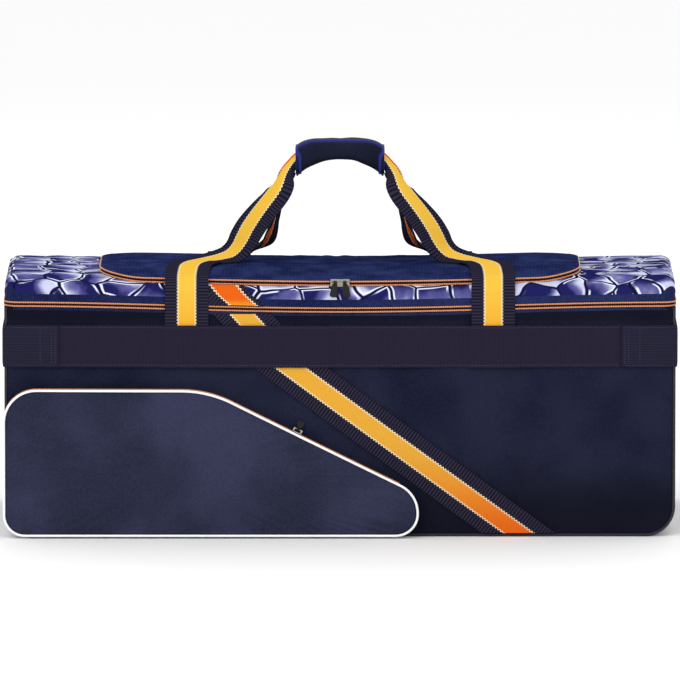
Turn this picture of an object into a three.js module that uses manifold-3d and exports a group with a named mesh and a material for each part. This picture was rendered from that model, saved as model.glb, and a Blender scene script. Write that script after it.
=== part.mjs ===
// A soft cricket kit bag that stands on its base: a long boxed body with a zipped lid,
// a pocket on the lid, a sloping pocket on the front, sewn webbing and two carrying straps
// that meet in a wrapped grip. Millimetres; X is the length, -Y the front, +Z up.
// The origin is on the flat underside of the base, at the middle of the bag.
import * as THREE from "three";
import { mergeVertices } from "three/addons/utils/BufferGeometryUtils.js";
import Module from "manifold-3d";

const wasm = await Module();
wasm.setup();

// Main form
const bodyLength = 894;
const bodyDepth = 340;
const zipLine = 313;
const zipSag = 8;
const lidRise = 24;
const lidSkirt = 9;
const lidFall = 0.6;
const lidSquareness = 3.5;
const lidCorner = 18;
const lidEndRound = 14;
const lidSpine = 0.66;
const floorCorner = 40;
const belly = 8;
const endDish = 16;

// Cloth, tapes and webbing
const cloth = 2.5;
const webbing = 2.2;
const tape = 1.6;
const gap = 0.3;
const ease = 0.4;
const pipingRadius = 2.2;
const zipWidth = 9;
const pocketZipWidth = 6;

// Pocket on the lid
const lidPocketLength = 636;
const lidPocketDepth = 290;
const lidPocketSetBack = 15;
const lidPocketWall = 7;
const lidPocketPuff = 3;
const lidPocketZipBack = 70;
const lidPocketNearRound = 0.2 * lidPocketDepth;
const lidPocketFarRound = 0.42 * lidPocketDepth;

// Pocket on the front, as distances from the left end and from the base
const pocketLeft = 1;
const pocketLift = 5.5;
const pocketTop = 198;
const pocketCrest = 270;
const pocketReach = 548;
const pocketToe = 60;
const pocketTopRound = 42;
const pocketCrestRound = 150;
const pocketNoseRound = 40;
const pocketToeRound = 28;
const pocketFootRound = 26;
const pocketWall = 17;
const pocketPuff = 9;
const pocketHeart = { along: 0.42, up: 0.48 };
const pocketZipEnd = { low: 1.2, high: 0.75, along: 40, proud: 0.55 };

// Webbing sewn to the body
const strapWidth = 58;
const strapSpread = 408;
const rearStrapSpread = 300;
const strapTuck = 243;
const beltBottom = 229;
const beltTop = 285;
const endTab = 72;
const bandKnee = 231;
const bandHead = 300;
const lidBandFoot = -139;
const lidBandLean = 1.16;
const lidBandRun = 38;
const lidBandRise = 14.5;
const beltRamp = 8;
const beltStation = 40;
const handleBend = 4;

// Carrying straps and grip
const gripTop = 512;
const gripLength = 119;
const gripHeight = 23.5;
const gripDepth = 60;
const gripPad = 2.5;
const gripSquareness = 0.45;
const gripDroop = 21;
const gripShoulder = 13;
const gripFlare = 3;

// Zip sliders and their pullers
const sliderLength = 12.5;
const sliderWidth = 9.6;
const sliderBody = 2.4;
const sliderLift = 1.6;
const bridgeRadius = 1.1;
const eyeClearance = 0.5;
const eyeWall = 1.2;
const eyeWidth = 4.5;
const pullerWidth = 9;
const pullerLength = 20;
const frontPullerLength = 13;
const pullerPlate = 1.8;
const pullerFan = 8;
const lidPullerTilt = 30;
const frontPullerTilt = 58;
const frontSliderShare = 0.42;

const halfLength = bodyLength / 2;
const halfDepth = bodyDepth / 2;
const halfStrap = strapWidth / 2;
const firstLayer = gap + webbing / 2 + ease;
const skirtFoot = zipWidth / 2 + gap;

const navy = { color: 0x22243a, roughness: 0.8, metalness: 0 };
const ripstop = { color: 0x24305f, roughness: 0.7, metalness: 0 };
const printed = { color: 0x6a69ad, roughness: 0.75, metalness: 0 };
const webbingYellow = { color: 0xfbb52a, roughness: 0.7, metalness: 0 };
const webbingDark = { color: 0x2a2738, roughness: 0.85, metalness: 0 };
const zipTape = { color: 0xd9894f, roughness: 0.55, metalness: 0 };
const white = { color: 0xf4f4f4, roughness: 0.6, metalness: 0 };
const steel = { color: 0xc9c3b0, roughness: 0.3, metalness: 1 };
const blackRubber = { color: 0x2a2a22, roughness: 0.6, metalness: 0 };

const bag = new THREE.Group();

function addPart(name, geometry, finish) {
  const mesh = new THREE.Mesh(geometry, new THREE.MeshStandardMaterial(finish));
  mesh.name = name;
  bag.add(mesh);
  return mesh;
}

const clamp = THREE.MathUtils.clamp;
const lerp = THREE.MathUtils.lerp;
const degrees = THREE.MathUtils.degToRad;
const point = (x, y, z) => new THREE.Vector3(x, y, z);

// Evenly spaced values from first to last, both kept.
function spread(first, last, steps) {
  return Array.from({ length: steps + 1 }, (_, i) => lerp(first, last, i / steps));
}

// One closed body from patches, each a table of rows of points. Points that coincide are
// joined, faces with no area are dropped, and the whole is turned to face outwards.
function bodyFrom(patches) {
  const coordinates = [];
  const numbers = new Map();
  const faces = [];
  const numberOf = (p) => {
    const key = [p.x, p.y, p.z].map((value) => Math.round(value * 2000)).join();
    if (!numbers.has(key)) {
      numbers.set(key, coordinates.length / 3);
      coordinates.push(p.x, p.y, p.z);
    }
    return numbers.get(key);
  };
  const addFace = (a, b, c) => {
    if (a !== b && b !== c && c !== a) faces.push(a, b, c);
  };
  for (const rows of patches) {
    for (let i = 0; i + 1 < rows.length; i += 1) {
      for (let j = 0; j + 1 < rows[i].length; j += 1) {
        const corners = [rows[i][j], rows[i][j + 1], rows[i + 1][j + 1], rows[i + 1][j]];
        const [a, b, c, d] = corners.map(numberOf);
        addFace(a, b, c);
        addFace(a, c, d);
      }
    }
  }
  const at = (n) => point(coordinates[3 * n], coordinates[3 * n + 1], coordinates[3 * n + 2]);
  let volume = 0;
  for (let i = 0; i < faces.length; i += 3) {
    volume += at(faces[i]).dot(at(faces[i + 1]).cross(at(faces[i + 2])));
  }
  if (volume < 0) faces.reverse();
  const geometry = new THREE.BufferGeometry();
  geometry.setAttribute("position", new THREE.Float32BufferAttribute(coordinates, 3));
  geometry.setIndex(faces);
  geometry.computeVertexNormals();
  return geometry;
}

// A body through a row of rings. A ring lists one side of the section and then the other
// side backwards, so its first half faces its second half.
function loft(rings, joinEnds = false) {
  const sides = rings.map((ring) => [...ring, ring[0]]);
  if (joinEnds) return bodyFrom([[...sides, sides[0]]]);
  const half = rings[0].length / 2;
  const near = rings[0];
  const far = rings[rings.length - 1];
  const nearCap = [near.slice(half).reverse(), near.slice(0, half)];
  const farCap = [far.slice(0, half), far.slice(half).reverse()];
  return bodyFrom([sides, nearCap, farCap]);
}

// A tray of cloth, open at its rim: walls up from the outline and a puffed panel that
// closes on the spine. place puts a point of the plan, at a height, into the bag.
function tray({ outline, spine, shares, rim, height, place }) {
  const side = (start, inset) => {
    const heart = spine(start);
    const rows = shares.map((share) => {
      const spot = start.clone().lerp(heart, share);
      return place(spot, height(spot, share, inset));
    });
    return [place(start, rim(start)), ...rows];
  };
  const outside = outline(0);
  const inside = outline(cloth);
  const rings = outside.map((start, i) => [
    ...side(inside[i], cloth).reverse(),
    ...side(start, 0),
  ]);
  return bodyFrom([[...rings, rings[0]]]);
}

// A closed outline with round corners, inset by a distance. Each corner row has its place
// and its radius, and the corners run anticlockwise round a shape with no hollow side.
function roundedOutline(corners, inset, steps, straights = 0) {
  const points = [];
  const count = corners.length;
  corners.forEach((corner, i) => {
    const here = new THREE.Vector2(corner.x, corner.y);
    const before = corners[(i + count - 1) % count];
    const after = corners[(i + 1) % count];
    const back = new THREE.Vector2(before.x, before.y).sub(here).normalize();
    const ahead = new THREE.Vector2(after.x, after.y).sub(here).normalize();
    const halfAngle = Math.acos(clamp(back.dot(ahead), -1, 1)) / 2;
    const toCentre = back.clone().add(ahead).normalize();
    const centre = here.clone().addScaledVector(toCentre, corner.radius / Math.sin(halfAngle));
    const start = Math.atan2(-back.x, back.y) - Math.PI;
    const sweep = Math.PI - 2 * halfAngle;
    for (const turn of spread(0, sweep, steps)) {
      const reach = new THREE.Vector2(Math.cos(start + turn), Math.sin(start + turn));
      points.push(centre.clone().addScaledVector(reach, corner.radius - inset));
    }
  });
  if (straights === 0) return points;
  return points.flatMap((start, i) => {
    const end = points[(i + 1) % points.length];
    const isStraight = i % (steps + 1) === steps;
    const extra = isStraight ? spread(0, 1, straights + 1).slice(1, -1) : [];
    return [start, ...extra.map((share) => start.clone().lerp(end, share))];
  });
}

// A strip along a row of stations: each has a centre, the way it faces, its curl, which is
// the angle that half of its width bends away from that facing, and how flat the bend is.
function ribbon(stations, width, thickness, across) {
  const last = stations.length - 1;
  const rings = stations.map((station, i) => {
    const before = stations[Math.max(i - 1, 0)].centre;
    const after = stations[Math.min(i + 1, last)].centre;
    const along = after.clone().sub(before).normalize();
    const facing = station.facing.clone();
    facing.addScaledVector(along, -facing.dot(along)).normalize();
    const sideways = along.clone().cross(facing);
    const curl = Math.max(station.curl, 0.5);
    const radius = width / 2 / degrees(curl);
    const round = 1 - (station.flat ?? 0);
    const line = (offset) =>
      spread(-curl, curl, across).map((angle) => {
        const sine = Math.sin(degrees(angle));
        const cosine = Math.cos(degrees(angle));
        const normal = new THREE.Vector2(sine * round, cosine).normalize();
        return station.centre
          .clone()
          .addScaledVector(sideways, radius * sine + offset * normal.x)
          .addScaledVector(facing, radius * (cosine - 1) * round + offset * normal.y);
      });
    return [...line(thickness / 2), ...line(-thickness / 2).reverse()];
  });
  return loft(rings);
}

// A round cord along a row of centres. Its section is turned to the way that it runs.
function cord(centres, radius, sides, joinEnds = false) {
  const count = centres.length;
  const rings = centres.map((centre, i) => {
    const before = joinEnds ? centres[(i + count - 1) % count] : centres[Math.max(i - 1, 0)];
    const after = joinEnds ? centres[(i + 1) % count] : centres[Math.min(i + 1, count - 1)];
    const along = after.clone().sub(before).normalize();
    const outward = point(0, -1, 0);
    outward.addScaledVector(along, -outward.dot(along)).normalize();
    const sideways = along.clone().cross(outward);
    return spread(0, 2 * Math.PI, sides)
      .slice(0, sides)
      .map((angle) =>
        centre
          .clone()
          .addScaledVector(sideways, radius * Math.cos(angle))
          .addScaledVector(outward, radius * Math.sin(angle)),
      );
  });
  return loft(rings, joinEnds);
}

// Surfaces of the body

const sagAt = (x) => zipSag * Math.cos((Math.PI * x) / bodyLength) ** 2;
const zipAt = (x) => zipLine - sagAt(x);

// How far the front or back panel bellies out at a place on it.
function bellyAt(x, z) {
  const along = 1 - (x / halfLength) ** 2;
  const up = Math.sin(Math.PI * clamp(z / zipLine, 0, 1));
  return belly * Math.max(along, 0) * up;
}

// A point a given distance proud of the front (side -1) or back (side +1) panel.
function onPanel(side, x, z, proud) {
  return point(x, side * (halfDepth + bellyAt(x, z) + proud), z);
}

// Height of the lid above the plan, for its outer face or its inner one. The dome loses the
// share lidFall of its rise towards the back.
function lidAt(x, y, inset = 0) {
  const reach = clamp(Math.abs(y) / (halfDepth - inset), 0, 1);
  const roundY = (1 - reach ** lidSquareness) ** (1 / lidSquareness);
  const over = clamp((Math.abs(x) - (halfLength - lidEndRound)) / (lidEndRound - inset), 0, 1);
  const roundX = Math.sqrt(1 - over * over);
  const fall = 1 - lidFall * ((y + halfDepth) / bodyDepth) ** 2;
  return zipAt(x) + skirtFoot + lidSkirt - inset + lidRise * roundY * roundX * fall;
}

const pipingInset = pipingRadius + gap;
const panelInset = pipingInset + pipingRadius + gap;
const gussetEdge = halfDepth - 2 * pipingRadius - gap;
const panelTop = (x) => zipAt(x) - zipWidth / 2 - gap;
const cornerStart = halfLength - floorCorner;

// Lowest point of the front outline at x, once it is inset.
function floorAt(x, inset) {
  const over = Math.max(Math.abs(x) - cornerStart, 0);
  const radius = floorCorner - inset;
  return floorCorner - Math.sqrt(Math.max(radius * radius - over * over, 0));
}

function makePanel(side) {
  const corner = spread(0, 90, 5).map(
    (angle) => cornerStart + (floorCorner - panelInset) * Math.sin(degrees(angle)),
  );
  const flat = spread(-cornerStart, cornerStart, 14).slice(1, -1);
  const columns = [...corner.map((x) => -x).reverse(), ...flat, ...corner];
  const top = side < 0 ? panelTop : (x) => zipAt(x) + zipWidth / 2;
  const rings = columns.map((x) => {
    const heights = spread(floorAt(x, panelInset), top(x), 6);
    const outer = heights.map((z) => onPanel(side, x, z, 0));
    const inner = heights.map((z) => onPanel(side, x, z, -cloth));
    return [...outer, ...inner.reverse()];
  });
  return loft(rings);
}

function makeEndPanel(side) {
  const widths = spread(-gussetEdge, gussetEdge, 6);
  const top = zipLine - zipWidth / 2 - gap;
  const walls = spread(top, floorCorner, 6).map((z) => {
    const share = (z - floorCorner) / (top - floorCorner);
    return { x: halfLength, z, nx: 1, nz: 0, dish: endDish * Math.sin(Math.PI * share) };
  });
  const bends = spread(0, 90, 5).slice(1);
  const corner = bends.map((angle) => {
    const nx = Math.cos(degrees(angle));
    const nz = -Math.sin(degrees(angle));
    return { x: cornerStart + floorCorner * nx, z: floorCorner + floorCorner * nz, nx, nz, dish: 0 };
  });
  const rings = [...walls, ...corner].map((row) => {
    const line = (depth) =>
      widths.map((y) => {
        const sunk = depth + row.dish * (1 - (y / gussetEdge) ** 2);
        return point(side * (row.x - row.nx * sunk), y, row.z - row.nz * sunk);
      });
    return [...line(0), ...line(cloth).reverse()];
  });
  return loft(rings);
}

function makeBase() {
  const reach = cornerStart - gap;
  const rings = spread(-reach, reach, 2).map((x) => [
    point(x, -gussetEdge, 0),
    point(x, gussetEdge, 0),
    point(x, gussetEdge, cloth),
    point(x, -gussetEdge, cloth),
  ]);
  return loft(rings);
}

function makeEdgePiping(side) {
  const radius = floorCorner - pipingInset;
  const y = side * (halfDepth - pipingRadius);
  const bend = spread(0, 90, 5).map((angle) =>
    point(
      cornerStart + radius * Math.cos(degrees(angle)),
      y,
      floorCorner - radius * Math.sin(degrees(angle)),
    ),
  );
  const right = [point(cornerStart + radius, y, zipLine - zipWidth / 2 - gap), ...bend];
  const left = right.map((p) => point(-p.x, p.y, p.z)).reverse();
  return cord([...right, ...left], pipingRadius, 8);
}

// Lid, with the zip that holds it to the front and the ends

function lidOutline(inset) {
  const corners = [
    { x: -halfLength, y: -halfDepth, radius: lidCorner },
    { x: halfLength, y: -halfDepth, radius: lidCorner },
    { x: halfLength, y: halfDepth, radius: lidCorner },
    { x: -halfLength, y: halfDepth, radius: lidCorner },
  ];
  return roundedOutline(corners, inset, 4, 7);
}

function makeLid() {
  const spineEnd = lidSpine * halfLength;
  return tray({
    outline: lidOutline,
    spine: (p) => new THREE.Vector2(clamp(p.x, -spineEnd, spineEnd), 0),
    shares: [0, 0.006, 0.02, 0.05, 0.1, 0.22, 0.5, 1],
    rim: (p) => zipAt(p.x) + skirtFoot,
    height: (p, share, inset) => lidAt(p.x, p.y, inset),
    place: (p, z) => point(p.x, p.y, z),
  });
}

// Rings of an upright tape whose outer face follows points of a plan.
function uprightTape(plan, thickness, low, high) {
  const rings = plan.map((p, i) => {
    const before = plan[Math.max(i - 1, 0)];
    const after = plan[Math.min(i + 1, plan.length - 1)];
    const along = after.clone().sub(before).normalize();
    const back = p.clone().add(new THREE.Vector2(-along.y, along.x).multiplyScalar(thickness));
    return [
      point(p.x, p.y, low(p)),
      point(p.x, p.y, high(p)),
      point(back.x, back.y, high(p)),
      point(back.x, back.y, low(p)),
    ];
  });
  return loft(rings);
}

function makeMainZip() {
  const backReach = halfDepth - lidCorner * (1 - Math.SQRT1_2) + gap;
  const plan = lidOutline(0).filter((p) => p.y < backReach);
  const start = plan.findIndex((p, i) => i > 0 && p.x < 0 && plan[i - 1].x > halfLength - 1);
  const path = start < 0 ? plan : [...plan.slice(start), ...plan.slice(0, start)];
  return uprightTape(
    path,
    cloth,
    (p) => zipAt(p.x) - zipWidth / 2,
    (p) => zipAt(p.x) + zipWidth / 2,
  );
}

// Pocket on the lid

function lidPocketOutline(inset) {
  const x = lidPocketLength / 2;
  const front = lidPocketSetBack - halfDepth;
  const back = front + lidPocketDepth;
  const corners = [
    { x: -x, y: front, radius: lidPocketNearRound },
    { x, y: front, radius: lidPocketNearRound },
    { x, y: back, radius: lidPocketFarRound },
    { x: -x, y: back, radius: lidPocketFarRound },
  ];
  return roundedOutline(corners, inset, 6, 5);
}

function lidPocketAt(x, y, share) {
  const puff = Math.sqrt(1 - (1 - share) ** 2);
  return lidAt(x, y) + gap + lidPocketWall + lidPocketPuff * puff;
}

function makeLidPocket() {
  const heart = new THREE.Vector2(0, lidPocketDepth / 2 + lidPocketSetBack - halfDepth);
  return tray({
    outline: lidPocketOutline,
    spine: () => heart,
    shares: [0, 0.05, 0.2, 0.45, 0.75, 1],
    rim: (p) => lidAt(p.x, p.y) + gap,
    height: (p, share, inset) => lidPocketAt(p.x, p.y, share) - inset,
    place: (p, z) => point(p.x, p.y, z),
  });
}

const lidPocketZipProud = gap + tape;

function makeLidPocketZip() {
  const outline = lidPocketOutline(-lidPocketZipProud);
  const front = outline.filter((p) => p.y < lidPocketZipBack);
  const start = front.findIndex((p) => p.x < 0 && p.y > 0);
  const path = start > 0 ? [...front.slice(start), ...front.slice(0, start)] : front;
  const low = (lidPocketWall - pocketZipWidth) / 2;
  return uprightTape(
    path,
    tape,
    (p) => lidAt(p.x, p.y) + gap + low,
    (p) => lidAt(p.x, p.y) + gap + low + pocketZipWidth,
  );
}

// Pocket on the front

const pocketStart = -halfLength + pocketLeft;

function pocketOutline(inset) {
  const corners = [
    { x: pocketStart, y: pocketLift, radius: pocketFootRound },
    { x: pocketStart + pocketReach, y: pocketLift, radius: pocketToeRound },
    { x: pocketStart + pocketReach, y: pocketToe, radius: pocketNoseRound },
    { x: pocketStart + pocketCrest, y: pocketTop, radius: pocketCrestRound },
    { x: pocketStart, y: pocketTop, radius: pocketTopRound },
  ];
  return roundedOutline(corners, inset, 4, 3);
}

function makeFrontPocket() {
  const heart = new THREE.Vector2(
    pocketStart + pocketHeart.along * pocketReach,
    pocketHeart.up * pocketTop,
  );
  return tray({
    outline: pocketOutline,
    spine: () => heart,
    shares: [0, 0.04, 0.14, 0.35, 0.65, 1],
    rim: () => gap,
    height: (p, share, inset) =>
      gap + pocketWall - inset + pocketPuff * Math.sqrt(1 - (1 - share) ** 2),
    place: (p, proud) => onPanel(-1, p.x, p.y, proud),
  });
}

function makePocketPiping() {
  const centres = pocketOutline(-pipingRadius * 0.5 - gap).map((p) =>
    onPanel(-1, p.x, p.y, gap + pocketWall + pipingRadius),
  );
  return cord(centres, pipingRadius, 6, true);
}

function makePocketZip() {
  const outline = pocketOutline(-gap);
  const first = outline.findIndex((p) => p.y > pocketToe * pocketZipEnd.low);
  const path = outline
    .slice(first)
    .filter((p) => p.y > pocketTop * pocketZipEnd.high || p.x > pocketStart + pocketZipEnd.along);
  const middle = gap + pocketWall * pocketZipEnd.proud;
  const rings = path.map((p, i) => {
    const before = path[Math.max(i - 1, 0)];
    const after = path[Math.min(i + 1, path.length - 1)];
    const along = after.clone().sub(before).normalize();
    const out = new THREE.Vector2(along.y, -along.x).multiplyScalar(tape);
    const low = middle - pocketZipWidth / 2;
    const high = middle + pocketZipWidth / 2;
    return [
      onPanel(-1, p.x, p.y, low),
      onPanel(-1, p.x, p.y, high),
      onPanel(-1, p.x + out.x, p.y + out.y, high),
      onPanel(-1, p.x + out.x, p.y + out.y, low),
    ];
  });
  return loft(rings);
}

// Webbing sewn to the front and back panels

// Places along the panel where the belt runs over a strap or the sloping band.
const strapCentre = strapSpread / 2;
const bandRows = [
  { z: panelInset + gap, across: 0.5324, spread: 0.8431 },
  { z: bandKnee, across: -0.1544, spread: 0.8431 },
  { z: beltTop + 1, across: -0.2617, spread: 0.6724 },
  { z: bandHead, across: -0.2908, spread: 0.6724 },
].map(({ z, across, spread }) => ({ z, x: across * halfLength, run: spread * strapWidth }));

// Centre and half-run of the sloping band at a height on the front panel.
function bandAt(z) {
  const next = clamp(bandRows.findIndex((row) => row.z >= z), 1, bandRows.length - 1);
  const low = bandRows[next - 1];
  const high = bandRows[next];
  const share = (z - low.z) / (high.z - low.z);
  return { x: lerp(low.x, high.x, share), run: lerp(low.run, high.run, share) };
}

function makeBelt(side) {
  const legReach = halfStrap + gap * 2;
  const bandLeft = bandAt(beltTop).x - bandAt(beltTop).run;
  const bandRight = bandAt(beltBottom).x + bandAt(beltBottom).run + gap * 2;
  const centre = (side < 0 ? strapSpread : rearStrapSpread) / 2;
  const left = { from: -centre - legReach, to: side < 0 ? bandRight : -centre + legReach };
  const right = { from: centre - legReach, to: centre + legReach };
  if (side < 0 && bandLeft < left.from) left.from = bandLeft;
  const reach = halfLength - panelInset - gap;
  const columns = [-reach, -0.9 * halfLength, -0.75 * halfLength, -0.6 * halfLength];
  const raised = [left, right].flatMap(({ from, to }) =>
    spread(from, to, Math.max(2, Math.round((to - from) / beltStation))),
  );
  const ramps = [left, right].flatMap(({ from, to }) => [from - beltRamp, to + beltRamp]);
  const mirrored = columns.map((x) => -x);
  const between = spread(left.to + beltStation, right.from - beltStation, 3);
  const stations = [...columns, ...raised, ...ramps, ...mirrored, ...between];
  stations.sort((a, b) => a - b);
  const rings = stations.map((x) => {
    const lifted = [left, right].some(({ from, to }) => x >= from - 0.01 && x <= to + 0.01);
    const low = lifted ? 2 * gap + webbing + ease : gap;
    const heights = spread(beltBottom, beltTop, 2);
    const outer = heights.map((z) => onPanel(side, x, z, low + webbing));
    const inner = heights.map((z) => onPanel(side, x, z, low));
    return [...outer, ...inner.reverse()];
  });
  return loft(rings);
}

function makeSlopingBand() {
  const below = spread(bandRows[0].z, bandKnee, 5);
  const underBelt = spread(bandKnee, bandRows[2].z, 2).slice(1);
  const heights = [...below, ...underBelt, bandHead];
  const rings = heights.map((z) => {
    const { x, run } = bandAt(z);
    const widths = spread(x - run, x + run, 2);
    const outer = widths.map((across) => onPanel(-1, across, z, gap + webbing));
    const inner = widths.map((across) => onPanel(-1, across, z, gap));
    return [...outer, ...inner.reverse()];
  });
  return loft(rings);
}

// The upper piece of the sloping band, from the main zip up the front of the lid to the
// lid pocket's zip. It stops beside the strap that crosses it.
function makeLidBand() {
  const heights = [gap, ...spread(lidSkirt, lidSkirt + lidBandRise, 4)];
  const stop = halfStrap + gap - strapCentre;
  const onLidFront = (x, height, proud) => {
    const share = clamp((height - lidSkirt) / lidRise, 0, 1);
    const y = halfDepth * (1 - share ** lidSquareness) ** (1 / lidSquareness);
    const normal = new THREE.Vector2(
      (y / halfDepth) ** (lidSquareness - 1) / halfDepth,
      share ** (lidSquareness - 1) / lidRise,
    ).normalize();
    const foot = zipAt(x) + skirtFoot + height;
    return point(x, -y - proud * normal.x, foot + proud * normal.y);
  };
  const rings = heights.map((height) => {
    const centre = lidBandFoot - lidBandLean * height;
    const left = Math.max(centre - lidBandRun, stop);
    const widths = spread(left, centre + lidBandRun, 2);
    const outer = widths.map((x) => onLidFront(x, height, gap + ease + webbing));
    const inner = widths.map((x) => onLidFront(x, height, gap + ease));
    return [...outer, ...inner.reverse()];
  });
  return loft(rings);
}

// The wide handle on each end: sewn over the belt at front and back, free across the end.
function makeEndHandle(side) {
  const proud = 2 * gap + webbing + ease;
  const sewn = [halfLength - endTab, halfLength - endTab / 2, halfLength - handleBend];
  const middle = (beltBottom + beltTop) / 2;
  const front = sewn.map((x) => ({ x, y: halfDepth + bellyAt(x, middle) + proud, nx: 0, ny: 1 }));
  const start = front[front.length - 1];
  const corner = spread(0, 90, 3).slice(1).map((angle) => {
    const nx = Math.sin(degrees(angle));
    const ny = Math.cos(degrees(angle));
    return { x: start.x + (handleBend + gap) * nx, y: start.y - (handleBend + gap) * (1 - ny), nx, ny };
  });
  const half = [...front, ...corner, { ...corner[corner.length - 1], y: halfDepth / 2 }];
  const path = [
    ...half.map((row) => ({ ...row, y: -row.y, ny: -row.ny })),
    ...half.map((row) => ({ ...row })).reverse(),
  ];
  const rings = path.map(({ x, y, nx, ny }) => {
    const at = (out, z) => point(side * (x + nx * out), y + ny * out, z);
    return [
      at(webbing, beltBottom),
      at(webbing, beltTop),
      at(0, beltTop),
      at(0, beltBottom),
    ];
  });
  return loft(rings);
}

// Carrying straps. Both run from under the belt, up the panel and over the lid pocket,
// then rise to the grip, where each curls into a tube of its own.

// Left legs of the straps, in the order that they run. across is a share of the strap's
// spread, back and proud are shares of half the body's depth, above is a share of the lid's
// rise over its skirt, and along and aside are shares of the grip's length and depth. rise
// runs from the top of the lid pocket to the crown of the strap in the grip.
const frontEdge = [
  { proud: 0.0106, above: 0.417, face: [0, -1, 0.3] },
  { proud: -0.0206, above: 0.771, face: [0, -0.7, 0.7] },
  { proud: -0.0647, above: 1.063, face: [0, -0.4, 0.9] },
];
const frontTop = [
  { across: -0.499, back: 0.87 },
  { across: -0.496, back: 0.73 },
  { across: -0.49, back: 0.59 },
  { across: -0.476, back: 0.46 },
  { across: -0.455, back: 0.353 },
];
const frontRise = [
  { across: -0.424, back: 0.2765, rise: 0.031, face: [-0.08, -0.15, 0.98], curl: 0, flat: 0 },
  { across: -0.3897, back: 0.2235, rise: 0.043, face: [-0.2, -0.25, 0.95], curl: 0, flat: 0 },
  { across: -0.3603, back: 0.1941, rise: 0.068, face: [-0.45, -0.4, 0.8], curl: 5, flat: 0 },
  { across: -0.3382, back: 0.1824, rise: 0.125, face: [-0.62, -0.52, 0.58], curl: 10, flat: 0 },
  { across: -0.3211, back: 0.1765, rise: 0.205, face: [-0.68, -0.62, 0.38], curl: 14, flat: 0 },
  { across: -0.3027, back: 0.1735, rise: 0.3, face: [-0.68, -0.62, 0.38], curl: 20, flat: 0 },
  { across: -0.2733, back: 0.1735, rise: 0.42, face: [-0.66, -0.58, 0.48], curl: 28, flat: 0 },
  { across: -0.2414, back: 0.1735, rise: 0.535, face: [-0.68, -0.54, 0.5], curl: 38, flat: 0 },
  { across: -0.2145, back: 0.1676, rise: 0.635, face: [-0.7, -0.5, 0.5], curl: 52, flat: 0.05 },
];
const rearEdge = [
  { proud: 0.0124, above: 0.08, face: [0, -1, 0.25] },
  { proud: -0.0206, above: 0.5, face: [0, -0.75, 0.7] },
  { proud: -0.0824, above: 0.78, face: [0, -0.4, 0.9] },
];
const rearTop = [
  { across: -0.497, back: 0.78 },
  { across: -0.487, back: 0.73 },
  { across: -0.46, back: 0.67 },
];
const rearRise = [
  { across: -0.41, back: 0.61, rise: -0.01, face: [-0.03, -0.05, 1], curl: 0, flat: 0 },
  { across: -0.372, back: 0.55, rise: 0.022, face: [-0.25, -0.12, 0.95], curl: 0, flat: 0 },
  { across: -0.344, back: 0.48, rise: 0.085, face: [-0.65, -0.25, 0.7], curl: 3, flat: 0 },
  { across: -0.322, back: 0.415, rise: 0.16, face: [-0.93, -0.3, 0.35], curl: 6, flat: 0 },
  { across: -0.31, back: 0.36, rise: 0.245, face: [-0.95, -0.24, 0.3], curl: 10, flat: 0 },
  { across: -0.297, back: 0.315, rise: 0.34, face: [-0.97, -0.14, 0.3], curl: 16, flat: 0 },
  { across: -0.288, back: 0.26, rise: 0.47, face: [-0.95, -0.1, 0.35], curl: 28, flat: 0 },
  { across: -0.28, back: 0.2, rise: 0.61, face: [-0.88, -0.25, 0.45], curl: 48, flat: 0.05 },
];
const gripRows = [
  { along: -0.6639, aside: 0.35, rise: 0.75, face: [-0.7, -0.22, 0.6], curl: 114, flat: 0.34 },
  { along: -0.5714, aside: 0.2433, rise: 0.848, face: [-0.6, -0.08, 0.72], curl: 152, flat: 0.5 },
  { along: -0.4874, aside: 0.215, rise: 0.912, face: [-0.45, -0.04, 0.86], curl: 156, flat: 0.45 },
  { along: -0.3782, aside: 0.2117, rise: 0.965, face: [-0.25, -0.02, 0.96], curl: 158, flat: 0.4 },
  { along: -0.2521, aside: 0.2117, rise: 1, face: [0, 0, 1], curl: 158, flat: 0.35 },
];
const crown = gripTop - gripPad - gap - webbing / 2 - 3 * ease;

function strapLeg(side) {
  const isFront = side < 0;
  const width = isFront ? strapSpread : rearStrapSpread;
  const x = -width / 2;
  const skirtTop = zipAt(x) + skirtFoot + lidSkirt;
  const heights = [strapTuck, (strapTuck + beltTop) / 2, beltTop + webbing, zipAt(x), skirtTop];
  const panel = heights.map((z) => ({
    centre: onPanel(side, x, z, firstLayer),
    facing: point(0, side, 0),
    curl: 0,
  }));
  const edge = (isFront ? frontEdge : rearEdge).map(({ proud, above, face }) => ({
    centre: point(x, side * halfDepth * (1 + proud), skirtTop + above * lidRise),
    facing: point(face[0], -side * face[1], face[2]),
    curl: 0,
  }));
  const pocketBack = isFront ? lidPocketSetBack : bodyDepth - lidPocketSetBack - lidPocketDepth;
  const top = (isFront ? frontTop : rearTop).map(({ across, back }) => {
    const y = back * halfDepth;
    const share = clamp((halfDepth - y - pocketBack) / (lidPocketDepth / 2), 0, 1);
    const along = across * width;
    const slopeX = lidAt(along + 1, side * y) - lidAt(along - 1, side * y);
    const slopeY = lidAt(along, side * y + 1) - lidAt(along, side * y - 1);
    const height = lidPocketAt(along, side * y, share) + firstLayer + ease;
    return {
      centre: point(along, side * y, height),
      facing: point(-slopeX / 2, -slopeY / 2, 1),
      curl: 0,
    };
  });
  const foot = lidPocketAt(frontRise[1].across * strapSpread, 0, 1);
  const lean = (face) => point(face[0], -side * face[1], face[2]);
  const rise = (isFront ? frontRise : rearRise).map(({ across, back, rise, face, ...bend }) => ({
    centre: point(across * width, side * back * halfDepth, lerp(foot, crown, rise)),
    facing: lean(face),
    ...bend,
  }));
  const held = gripRows.map(({ along, aside, rise, face, ...bend }) => ({
    centre: point(along * gripLength, side * aside * gripDepth, lerp(foot, crown, rise)),
    facing: lean(face),
    ...bend,
  }));
  return [...panel, ...edge, ...top, ...rise, ...held];
}

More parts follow.
